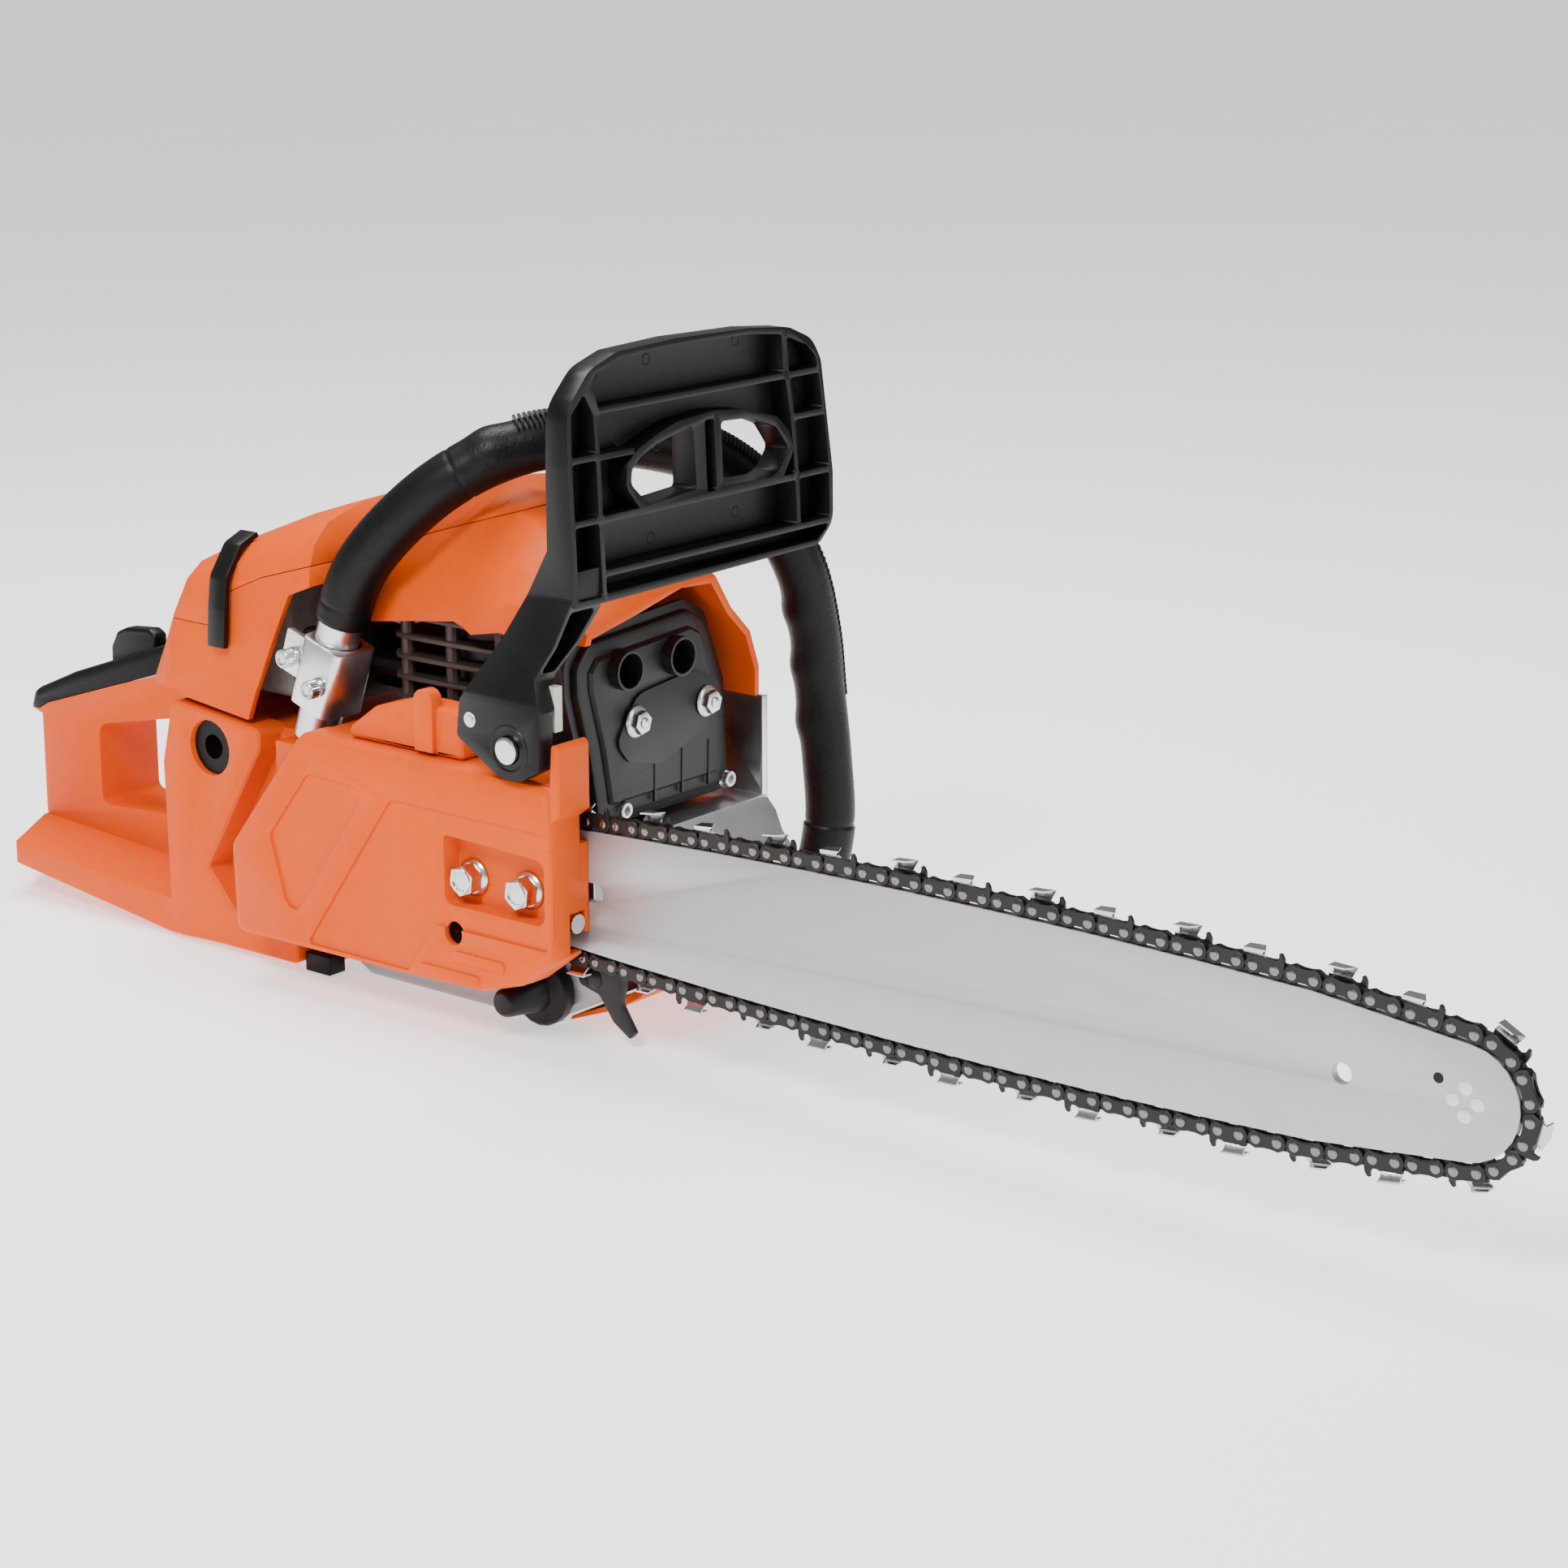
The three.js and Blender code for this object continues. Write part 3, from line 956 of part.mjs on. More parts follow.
// The guard's arm: a bent channel from the hub up to the panel, open to the front.
function guardArm() {
  const side = slab('Y', outline([[-28, 18, 3], [-30, 2, 3], [-9, -11, 4], [-2, -13.2, 4], [6, -13, 4],
    [17, -7, 3],
    [18, 18, 2], [13, 32, 3], [21, 46, 6], [28, 66, 4], [28, 78], [guardBack, 78], [guardBack, 86],
      [3, 66, 8],
    [-8, 46, 8]]), -100, -50);
  const front = slab('X', outline([[-92.5, -20], [-92.5, 22, 8], [guardRight, 66, 8], [guardRight, 86],
    [-62, 86],
    [-62, 60, 8], [-78, 30, 8], [-84, 16], [-84, -20]]), -40, 60);
  const channel = slab('X', outline([[-87, 34, 2], [-80.6, 61, 2], [-64.6, 61, 2], [-78.4, 34, 2]]),
    -40, 60)
    .intersect(slab('Y', outline([[-12.6, 30], [-4.2, 46], [5, 61], [5, 64], [60, 64], [60, 30]]),
      -100, -50));
  return cut(side.intersect(front), channel);
}

function handGuard() {
  const panel = moved(guardPanel(), [guardBack, 0, guardBottom]);
  return cut(union(panel, guardArm()), rod('Y', 6.4, -100, -70, [0, 0], 20),
    box([linkX[0] - GAP, linkX[1] + GAP], [-82 - GAP, -70], [7, 28 + GAP]));
}
part('hand_guard', handGuard(), 'black', guardGroup);
part('brake_link', box(linkX, [-82, -77], [8, 28]), 'paleBlock', guardGroup);
part('guard_pivot', union(rod('Y', 6, -93, coverFace + 8, [0, 0], 20), rod('Y', 8, -95, -92.9, [0, 0], 20)),
  'steel', guardGroup);

export default saw;
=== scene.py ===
"""Looks of the petrol chainsaw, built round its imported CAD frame. Metres; +X along the bar, +Z up."""
import json
import math

import bmesh
import bpy
from mathutils import Matrix, Vector

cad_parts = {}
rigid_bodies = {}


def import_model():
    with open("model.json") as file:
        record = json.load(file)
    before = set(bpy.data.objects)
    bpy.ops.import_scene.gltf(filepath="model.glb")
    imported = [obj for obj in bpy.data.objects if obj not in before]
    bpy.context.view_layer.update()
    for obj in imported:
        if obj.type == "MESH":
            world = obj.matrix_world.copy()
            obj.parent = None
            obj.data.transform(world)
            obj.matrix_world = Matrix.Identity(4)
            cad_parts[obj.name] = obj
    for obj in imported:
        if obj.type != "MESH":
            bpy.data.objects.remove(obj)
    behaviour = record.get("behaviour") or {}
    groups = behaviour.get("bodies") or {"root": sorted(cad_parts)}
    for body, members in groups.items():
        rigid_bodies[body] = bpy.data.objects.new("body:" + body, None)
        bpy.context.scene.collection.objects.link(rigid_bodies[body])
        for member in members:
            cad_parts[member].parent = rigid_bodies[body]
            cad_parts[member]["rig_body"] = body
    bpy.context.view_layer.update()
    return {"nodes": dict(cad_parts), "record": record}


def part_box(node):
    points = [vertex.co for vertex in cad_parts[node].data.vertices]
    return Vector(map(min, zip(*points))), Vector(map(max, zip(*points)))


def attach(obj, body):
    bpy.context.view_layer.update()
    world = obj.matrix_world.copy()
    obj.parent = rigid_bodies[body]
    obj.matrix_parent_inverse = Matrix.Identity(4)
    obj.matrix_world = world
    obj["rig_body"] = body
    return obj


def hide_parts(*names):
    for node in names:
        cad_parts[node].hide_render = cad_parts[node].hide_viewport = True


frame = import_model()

MM = 0.001
NODES = frame["nodes"]


# ------------------------------------------------------------------ materials
class Value:
    """A number, colour or vector inside one finish, with arithmetic that adds nodes."""

    def __init__(self, finish, socket):
        self.finish = finish
        self.socket = socket

    def maths(self, operation, other):
        return self.finish.node("ShaderNodeMath", {"operation": operation}, {0: self, 1: other})

    def __add__(self, other):
        return self.maths("ADD", other)

    def __mul__(self, other):
        return self.maths("MULTIPLY", other)

    __radd__ = __add__
    __rmul__ = __mul__

    def steps(self, low, high, to_low=0.0, to_high=1.0):
        """This value moved smoothly from one range to another, and held within it."""
        return self.finish.node("ShaderNodeMapRange", {"interpolation_type": "SMOOTHSTEP"}, {
            "Value": self, "From Min": low, "From Max": high, "To Min": to_low, "To Max": to_high})


class Finish:
    """A material whose looks are worked out from a piece's own coordinates."""

    def __init__(self, name, **fixed):
        self.material = bpy.data.materials.new(name)
        self.material.use_nodes = True
        self.tree = self.material.node_tree
        self.tree.nodes.clear()
        self.shader = self.tree.nodes.new("ShaderNodeBsdfPrincipled")
        output = self.tree.nodes.new("ShaderNodeOutputMaterial")
        self.tree.links.new(self.shader.outputs[0], output.inputs[0])
        for key, value in fixed.items():
            self.shader.inputs[key.replace("_", " ").title().replace("Ior", "IOR")].default_value = value
        self.place = self.node("ShaderNodeTexCoord", {}, {}, "Object")

    def node(self, kind, settings, sockets, output=0):
        """A node of a kind, with its settings and what its sockets hold, as the value of one output."""
        node = self.tree.nodes.new(kind)
        for key, value in settings.items():
            setattr(node, key, value)
        for key, value in sockets.items():
            self.feed(node.inputs[key], value)
        return Value(self, node.outputs[output])

    def feed(self, socket, value):
        if isinstance(value, Value):
            self.tree.links.new(value.socket, socket)
        elif isinstance(value, tuple) and len(value) == 3 and socket.type == "RGBA":
            socket.default_value = (*value, 1)
        else:
            socket.default_value = value

    def stretched(self, *factors):
        """The place with each axis scaled, so that a pattern runs along an axis."""
        return self.node("ShaderNodeVectorMath", {"operation": "MULTIPLY"}, {0: self.place, 1: factors})

    def noise(self, scale, detail=3.0, roughness=0.5, vector=None):
        return self.node("ShaderNodeTexNoise", {}, {
            "Vector": vector or self.place, "Scale": scale, "Detail": detail, "Roughness": roughness})

    def cells(self, scale):
        return self.node("ShaderNodeTexVoronoi", {}, {"Vector": self.place, "Scale": scale})

    def axis(self, name, vector):
        return self.node("ShaderNodeSeparateXYZ", {}, {0: vector}, name)

    def mix(self, factor, low, high):
        """A colour between two colours."""
        return self.node("ShaderNodeMix", {"data_type": "RGBA"}, {0: factor, 6: low, 7: high}, 2)

    def grain(self, height, depth):
        """The surface tilted by a height, whose full range is `depth` metres."""
        return self.node("ShaderNodeBump", {}, {"Height": height, "Distance": depth, "Strength": 1.0})

    def paint(self, **channels):
        for key, value in channels.items():
            self.feed(self.shader.inputs[key.replace("_", " ").title()], value)
        return self.material


def plastic(name, colour, deep, roughness, grain_size, grain_depth, specular=0.5):
    """Moulded plastic: a fine grain, and shade and gloss that wander a little."""
    f = Finish(name, specular_ior_level=specular)
    wander = f.noise(14, 2)
    fine = f.noise(1 / grain_size, 2, 0.6)
    cloudy = f.noise(220, 3)
    return f.paint(
        base_color=f.mix((wander * 0.6 + cloudy * 0.4).steps(0.3, 0.7), deep, colour),
        roughness=fine.steps(0.3, 0.7, roughness - 0.06, roughness + 0.08),
        normal=f.grain(fine, grain_depth))


def metal(name, colour, dark, roughness, along=(1, 1, 1), scale=500, spread=0.06, depth=0.000002,
          metallic=1.0):
    """Bare metal with marks that run along an axis."""
    f = Finish(name, metallic=metallic)
    marks = f.noise(scale, 4, 0.6, f.stretched(*along))
    wander = f.noise(40, 3)
    return f.paint(
        base_color=f.mix(marks * 0.5 + wander * 0.5, dark, colour),
        roughness=(marks * 0.6 + wander * 0.4).steps(0.25, 0.75, roughness - spread, roughness + spread),
        normal=f.grain(marks, depth))


ORANGE = plastic("orange_plastic", (0.74, 0.085, 0.0), (0.68, 0.075, 0.0), 0.44, 0.0007, 0.00003, 0.12)
BLACK = plastic("black_plastic", (0.0045, 0.0045, 0.0048), (0.003, 0.003, 0.0033), 0.36, 0.0006, 0.00003,
                0.22)
RUBBER = plastic("black_rubber", (0.0035, 0.0035, 0.0037), (0.002, 0.002, 0.0022), 0.42, 0.0008, 0.00003,
                 0.16)


def sleeve_rubber():
    """Rubber with stepped lines moulded into its lower stretch and small scales beyond the seam."""
    f = Finish("sleeve_rubber", specular_ior_level=0.2)
    uv = f.node("ShaderNodeTexCoord", {}, {}, "UV")
    along = f.axis("Y", uv)
    lines = f.node("ShaderNodeTexBrick", {"offset": 0.5}, {
        "Vector": f.node("ShaderNodeVectorMath", {"operation": "MULTIPLY"}, {0: uv, 1: (8.0, 8.0, 1.0)}),
        "Scale": 1.0, "Mortar Size": 0.012, "Brick Width": 0.8, "Row Height": 0.5}, "Fac")
    patches = f.noise(28, 1).steps(0.48, 0.54)
    lower = along.steps(1.55, 1.58, 1.0, 0.0)
    scales = f.cells(420).steps(0.0, 0.5) * along.steps(1.6, 1.64) * 0.25
    fine = f.noise(1400, 2, 0.6)
    return f.paint(
        base_color=f.mix(f.noise(30, 3), (0.0022, 0.0022, 0.0024), (0.0042, 0.0042, 0.0045)),
        roughness=fine.steps(0.3, 0.7, 0.38, 0.5),
        normal=f.grain(lines * patches * lower * -0.6 + scales + fine * 0.06, 0.0004))


SLEEVE = sleeve_rubber()
PALE = plastic("pale_plastic", (0.62, 0.6, 0.55), (0.5, 0.48, 0.43), 0.4, 0.0007, 0.00002)
FILTER = plastic("filter_cloth", (0.22, 0.22, 0.2), (0.14, 0.14, 0.13), 0.9, 0.001, 0.0001)
STEEL = metal("machined_steel", (0.62, 0.62, 0.63), (0.42, 0.42, 0.43), 0.34)
ZINC = metal("zinc_plate", (0.72, 0.73, 0.75), (0.6, 0.61, 0.63), 0.24)
ALUMINIUM = metal("aluminium", (0.72, 0.73, 0.75), (0.55, 0.56, 0.58), 0.4)
TUBE = metal("drawn_tube", (0.76, 0.77, 0.78), (0.68, 0.69, 0.7), 0.3, (1, 1, 0.05))
SHEET = metal("rolled_sheet", (0.8, 0.81, 0.82), (0.7, 0.71, 0.73), 0.34, (0.1, 1, 1))
CASTING = metal("grey_casting", (0.42, 0.43, 0.44), (0.28, 0.285, 0.29), 0.52, scale=1400, depth=0.00003,
                metallic=0.8)
FINS = metal("dark_casting", (0.075, 0.055, 0.047), (0.035, 0.026, 0.022), 0.46, scale=900, depth=0.00003,
             metallic=0.5)
MUFFLER = metal("heat_paint", (0.012, 0.012, 0.0125), (0.007, 0.007, 0.0073), 0.46, scale=1600, depth=0.00002,
                metallic=0.3)
BAR = metal("bar_steel", (0.5, 0.5, 0.505), (0.44, 0.44, 0.445), 0.5, (0.03, 1, 1), 900, 0.08, 0.00001, 0.75)
LINKS = metal("chain_links", (0.03, 0.028, 0.027), (0.012, 0.011, 0.0105), 0.4, scale=1800, depth=0.00001,
              metallic=0.7)
CHROME = metal("chrome_edge", (0.62, 0.62, 0.63), (0.45, 0.45, 0.46), 0.2)
RIVETS = metal("link_rivets", (0.24, 0.23, 0.225), (0.12, 0.115, 0.11), 0.26)

FINISH_OF = {
    "orange": ORANGE, "black": BLACK, "rubber": RUBBER, "bar_steel": BAR, "chain_steel": LINKS, "steel": STEEL,
    "zinc": ZINC, "aluminium": ALUMINIUM, "tube": TUBE, "sheet": SHEET, "cast_grey": CASTING, "fins": FINS,
    "black_metal": MUFFLER, "filter": FILTER, "pale": PALE}
SLOT_OF = {entry["node"]: entry["material_slot"] for entry in frame["record"]["subparts"]}

for name, node in NODES.items():
    node.data.materials.clear()
    node.data.materials.append(FINISH_OF[SLOT_OF[name]])


# ------------------------------------------------------------------ shape helpers
Y_AXIS, X_AXIS, Z_AXIS = Vector((0, 1, 0)), Vector((1, 0, 0)), Vector((0, 0, 1))


def mm(*place):
    return Vector(place) * MM


def piece(name, bm, finishes, body, instead_of=(), smooth=35):
    """A finished mesh as an object that rides on a body and takes the place of CAD nodes."""
    bmesh.ops.recalc_face_normals(bm, faces=bm.faces)
    mesh = bpy.data.meshes.new(name)
    bm.to_mesh(mesh)
    bm.free()
    for finish in finishes:
        mesh.materials.append(finish)
    mesh.shade_smooth()
    mesh.set_sharp_from_angle(angle=math.radians(smooth))
    obj = bpy.data.objects.new(name, mesh)
    bpy.context.scene.collection.objects.link(obj)
    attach(obj, body)
    if instead_of:
        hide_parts(*instead_of)
    return obj


def body_of(node):
    return NODES[node]["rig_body"]


def softened(node, width):
    """A CAD node with its edges rounded, shown in the node's place."""
    bm = bmesh.new()
    bm.from_mesh(NODES[node].data)
    bmesh.ops.remove_doubles(bm, verts=bm.verts, dist=2e-6)
    bmesh.ops.dissolve_limit(bm, angle_limit=math.radians(0.4), verts=bm.verts, edges=bm.edges)
    slot = SLOT_OF[node]
    obj = piece(node + "_rounded", bm, [FINISH_OF[slot]], body_of(node), [node], 180)
    bevel = obj.modifiers.new("edges", "BEVEL")
    bevel.width, bevel.segments = width * MM, 2
    bevel.limit_method, bevel.angle_limit = "ANGLE", math.radians(33)
    bevel.harden_normals = True
    bevel.use_clamp_overlap = True


def turn_profile(bm, profile, place, axis, steps=40):
    """A turned shape: profile of (radius, distance along the axis), in millimetres."""
    side = axis.orthogonal().normalized()
    verts = [bm.verts.new(mm(*place) + (axis * h + side * r) * MM) for r, h in profile]
    edges = [bm.edges.new(pair) for pair in zip(verts, verts[1:])]
    bmesh.ops.spin(bm, geom=verts + edges, cent=mm(*place), axis=axis, angle=2 * math.pi, steps=steps,
                   use_merge=True)
    bmesh.ops.remove_doubles(bm, verts=bm.verts, dist=1e-7)


def prism(bm, corners, place, axis, up, low, high, bevel=0.0):
    """A straight block from low to high along the axis: its outline [(u, v)...] has v along `up`."""
    across = up.cross(axis).normalized()
    origin = mm(*place)
    lower = [bm.verts.new(origin + (across * u + up * v + axis * low) * MM) for u, v in corners]
    result = bmesh.ops.extrude_face_region(bm, geom=[bm.faces.new(lower)])["geom"]
    moved = [v for v in result if isinstance(v, bmesh.types.BMVert)]
    bmesh.ops.translate(bm, verts=moved, vec=axis * (high - low) * MM)
    if bevel:
        top = [f for f in result if isinstance(f, bmesh.types.BMFace)][0]
        bmesh.ops.bevel(bm, geom=list(top.edges), offset=bevel * MM, segments=2, profile=0.5, affect="EDGES",
                        clamp_overlap=True, material=-1)


def ring_of(count, radius, start=0.0):
    """Corners of a regular outline, turned by an angle."""
    angles = [start + 2 * math.pi * i / count for i in range(count)]
    return [(radius * math.cos(a), radius * math.sin(a)) for a in angles]


# ------------------------------------------------------------------ rounded CAD shells
for node, width in {
        "engine_cover": 1.2, "filter_cover": 1.2, "clutch_cover": 0.9, "brake_cover": 0.9, "rear_housing": 1.0,
        "rear_grip": 1.0, "hand_guard": 0.5, "starter_cover": 1.0, "muffler": 0.8, "crankcase": 1.0,
        "cylinder": 0.5, "spike_bumper": 0.5, "bottom_shield": 0.6, "heat_shield": 0.3, "oil_cap": 0.6,
        "fuel_cap": 0.6, "handle_clamp": 0.4, "throttle_trigger": 0.8, "throttle_lockout": 0.8,
        "filter_latch_right": 0.4, "filter_latch_left": 0.4, "choke_knob": 0.5, "starter_grip": 1.0,
        "rubber_foot": 0.8, "brake_link": 0.6, "stop_switch": 0.5, "guide_bar": 0.25}.items():
    softened(node, width)

# ------------------------------------------------------------------ saw chain
CRANK_Z, BAR_Y, BAR_REACH = 74.0, -62.0, 523.3
STRAP, DRIVE = 9.24, 7.27  # rivet spacings within a side plate and within a drive link
LINKS_PER_CUTTER = 4
CHAIN_START = 170.0  # place along the top of the bar of the first cutter's rear rivet


def chain_path():
    """Points of the rivet line, in order along the top, round the nose, back and round the sprocket."""
    belly = lambda x: 36.3 - 12.65e-5 * (x - 302.6) ** 2
    start, end, nose, tail = 30.0, 460.0, 26.5, 8.255 * 7 / math.pi

    def touch(x, z, cx, radius, side):
        return math.atan2(z, x - cx) + side * math.acos(radius / math.hypot(x - cx, z))

    top = [(start + (end - start) * i / 120, belly(start + (end - start) * i / 120)) for i in range(121)]
    nose_turn = touch(end, belly(end), BAR_REACH, nose, -1)
    tail_turn = touch(start, belly(start), 0, tail, 1)
    arc = lambda cx, radius, a, b, n: [(cx + radius * math.cos(a + (b - a) * i / n),
                                        radius * math.sin(a + (b - a) * i / n)) for i in range(n + 1)]
    under = [(x, -z) for x, z in reversed(top)]
    round_nose = arc(BAR_REACH, nose, nose_turn, -nose_turn, 40)
    round_tail = arc(0, tail, 2 * math.pi - tail_turn, tail_turn, 40)
    return top + round_nose + under + round_tail


class Path:
    """A closed or open line of points that gives places by distance along it."""

    def __init__(self, points, closed=False):
        self.points = [Vector(p) for p in points]
        if closed:
            self.points.append(self.points[0].copy())
        self.marks = [0.0]
        for a, b in zip(self.points, self.points[1:]):
            self.marks.append(self.marks[-1] + (b - a).length)
        self.total, self.closed = self.marks[-1], closed

    def at(self, distance):
        distance = distance % self.total if self.closed else min(max(distance, 0.0), self.total)
        low, high = 0, len(self.marks) - 1
        while high - low > 1:
            middle = (low + high) // 2
            low, high = (middle, high) if self.marks[middle] <= distance else (low, middle)
        share = (distance - self.marks[low]) / max(self.marks[low + 1] - self.marks[low], 1e-9)
        return self.points[low].lerp(self.points[low + 1], share)


def plate(outline, near, far):
    """A flat link: outline [(u, v)...] between two distances from the bar's middle plane."""
    bm = bmesh.new()
    lower = [bm.verts.new((u, near, v)) for u, v in outline]
    face = bm.faces.new(lower)
    geom = bmesh.ops.extrude_face_region(bm, geom=[face])["geom"]
    moved = [v for v in geom if isinstance(v, bmesh.types.BMVert)]
    bmesh.ops.translate(bm, verts=moved, vec=(0, far - near, 0))
    outer = [f for f in geom if isinstance(f, bmesh.types.BMFace)][0]
    bmesh.ops.bevel(bm, geom=list(outer.edges), offset=0.22, segments=1, profile=0.5, affect="EDGES",
                    material=-1)
    return bm


def end_arc(cu, radius, start, stop, count=5):
    """The rounded end of a link about the rivet at (cu, 0), between two angles in degrees."""
    return [(cu + radius * math.cos(math.radians(start + (stop - start) * i / (count - 1))),
             radius * math.sin(math.radians(start + (stop - start) * i / (count - 1)))) for i in range(count)]


TIE_OUTLINE = (end_arc(0, 3.75, 95, 250) + [(3.0, -2.3), (6.2, -2.3)] + end_arc(STRAP, 3.75, -70, 85)
               + [(6.2, 3.1), (3.0, 3.1)])
CUTTER_OUTLINE = (end_arc(0, 3.75, 140, 250, 4) + [(3.0, -2.3), (6.2, -2.3)] + end_arc(STRAP, 3.75, -70, 0, 4)
                  + [(13.1, 3.4), (12.9, 5.2), (12.0, 6.7), (11.2, 7.1), (10.6, 6.8), (10.7, 5.6), (10.4, 4.5),
                     (9.3, 3.6), (7.9, 3.6), (6.6, 4.2), (-3.1, 3.9)])
DRIVE_OUTLINE = [(-2.9, 0.4), (-2.2, 3.0), (0.0, 4.1), (1.9, 3.2), (5.4, 3.2), (7.3, 4.1), (9.5, 3.0), (10.2, 0.4),
                 (8.8, -3.4), (6.8, -5.6), (4.6, -8.7), (3.4, -8.8), (2.2, -6.2), (-0.6, -3.9)]
CUTTER_SECTION = [(1.7, 3.7, 6.5), (3.9, 5.3, 5.2), (4.6, 6.6, 5.1), (4.7, 7.85, 6.7), (-0.6, 8.05, 3.6),
                  (-0.6, 7.4, 3.5), (3.6, 7.1, 5.6), (3.4, 6.3, 4.9), (0.75, 3.7, 6.2)]


def cutter_plate():
    """The bright cutting part: a side that leans out and a top that folds over the chain."""
    bm = bmesh.new()
    rear = [bm.verts.new((-3.2, w, v - (0.55 if v > 6 else 0))) for w, v, _ in CUTTER_SECTION]
    front = [bm.verts.new((u, w, v)) for w, v, u in CUTTER_SECTION]
    for i in range(len(rear)):
        bm.faces.new((rear[i - 1], rear[i], front[i], front[i - 1]))
    bm.faces.new(rear)
    bm.faces.new(front)
    return bm


def rivet_head():
    """A rivet's head with its punched middle."""
    bm = bmesh.new()
    profile = ((2.15, 2.1), (2.05, 2.35), (1.5, 2.62), (0.95, 2.72), (0.55, 2.6), (0.0, 2.58))
    verts = [bm.verts.new((0, h, r)) for r, h in profile]
    edges = [bm.edges.new(pair) for pair in zip(verts, verts[1:])]
    bmesh.ops.spin(bm, geom=verts + edges, cent=(0, 0, 0), axis=(0, 1, 0), angle=2 * math.pi, steps=12,
                   use_merge=True)
    bmesh.ops.remove_doubles(bm, verts=bm.verts, dist=1e-5)
    return bm


def stored(bm, material):
    """One link as a mesh, ready to be put in its places."""
    for face in bm.faces:
        face.material_index = material
    bmesh.ops.recalc_face_normals(bm, faces=bm.faces)
    mesh = bpy.data.meshes.new("link")
    bm.to_mesh(mesh)
    bm.free()
    return mesh


def saw_chain():
    """Every link, cutter and rivet round the bar, as one piece with three finishes."""
    path = Path([(x, 0, z) for x, z in chain_path()], closed=True)
    first = min(range(len(path.points) // 3), key=lambda i: abs(path.points[i].x - CHAIN_START))
    begin = path.marks[first] + (CHAIN_START - path.points[first].x)
    count = round(path.total / (STRAP + DRIVE))
    scale = path.total / (count * (STRAP + DRIVE))
    tie = stored(plate(TIE_OUTLINE, 0.7, 2.15), 0)
    cutter = stored(plate(CUTTER_OUTLINE, 0.7, 2.15), 0)
    drive = stored(plate(DRIVE_OUTLINE, -0.62, 0.62), 0)
    blade = stored(cutter_plate(), 1)
    rivet = stored(rivet_head(), 2)
    bm = bmesh.new()

    def put(mesh, matrix):
        known = len(bm.verts)
        bm.from_mesh(mesh)
        bm.verts.ensure_lookup_table()
        bmesh.ops.transform(bm, matrix=matrix, verts=bm.verts[known:])

    def stance(a, b, side):
        """Local axes of a link: forwards, away from the middle plane on one side, and out of the bar."""
        start = path.at(a)
        forward = (path.at(b) - start).normalized()
        out = Vector((-forward.z, 0, forward.x))
        rows = Matrix((forward, Vector((0, side, 0)), out)).transposed().to_4x4()
        return Matrix.Translation((start + Vector((0, BAR_Y, CRANK_Z))) * MM) @ Matrix.Scale(MM, 4) @ rows

    for i in range(count):
        a = begin + i * (STRAP + DRIVE) * scale
        b, c = a + STRAP * scale, a + (STRAP + DRIVE) * scale
        for side in (-1, 1):
            stand = stance(a, b, side)
            cutting = i % LINKS_PER_CUTTER == (0 if side < 0 else LINKS_PER_CUTTER // 2)
            put(cutter if cutting else tie, stand)
            if cutting:
                put(blade, stand)
            for distance in (a, b):
                put(rivet, stance(distance, distance + 1, side))
        put(drive, stance(b, c, 1))
    return piece("saw_chain_links", bm, [LINKS, CHROME, RIVETS], "chassis", ["saw_chain"], 30)


saw_chain()

# ------------------------------------------------------------------ front handle and its sleeve
HANDLE = [(-70, -54, 114.4), (-67.7, -54, 121.2), (-51.2, -54, 170.1), (-39.6, -52, 196.4), (-17.4, -42, 223.8),
          (2.8, -28, 241.7), (22.3, -8, 252.4), (38.3, 18, 253.9), (50.4, 43, 250), (62.9, 68, 240.6),
          (73.7, 90, 221.8), (84.7, 108, 188.4), (86.6, 118, 156), (86.7, 123, 123.8), (89.2, 125, 91.7),
          (90.8, 125, 59.9), (87, 119, 34), (74, 104, 17), (50, 84, 13), (20, 72, 13), (-20, 69, 13),
          (-65.65, 69, 13)]


def smooth_line(points, steps=30):
    """A centripetal curve through points."""
    pts = [Vector(p) for p in points]
    pts = [2 * pts[0] - pts[1]] + pts + [2 * pts[-1] - pts[-2]]
    line = []
    for p0, p1, p2, p3 in zip(pts, pts[1:], pts[2:], pts[3:]):
        d0, d1, d2 = (math.sqrt((b - a).length) for a, b in ((p0, p1), (p1, p2), (p2, p3)))
        t1 = ((p1 - p0) / d0 - (p2 - p0) / (d0 + d1) + (p2 - p1) / d1) * d1
        t2 = ((p2 - p1) / d1 - (p3 - p1) / (d1 + d2) + (p3 - p2) / d2) * d1
        for i in range(steps):
            t = i / steps
            line.append(p1 + t1 * t + (3 * (p2 - p1) - 2 * t1 - t2) * t * t + (2 * (p1 - p2) + t1 + t2) * t ** 3)
    line.append(pts[-2])
    return line


def place_on(path, s):
    """A place on a path, the way along it, and the side that faces away from the middle of the saw."""
    centre = path.at(s)
    along = (path.at(s + 1) - path.at(s - 1)).normalized()
    out = centre - Vector((0, 20, 120))
    return centre, along, (out - along * out.dot(along)).normalized()


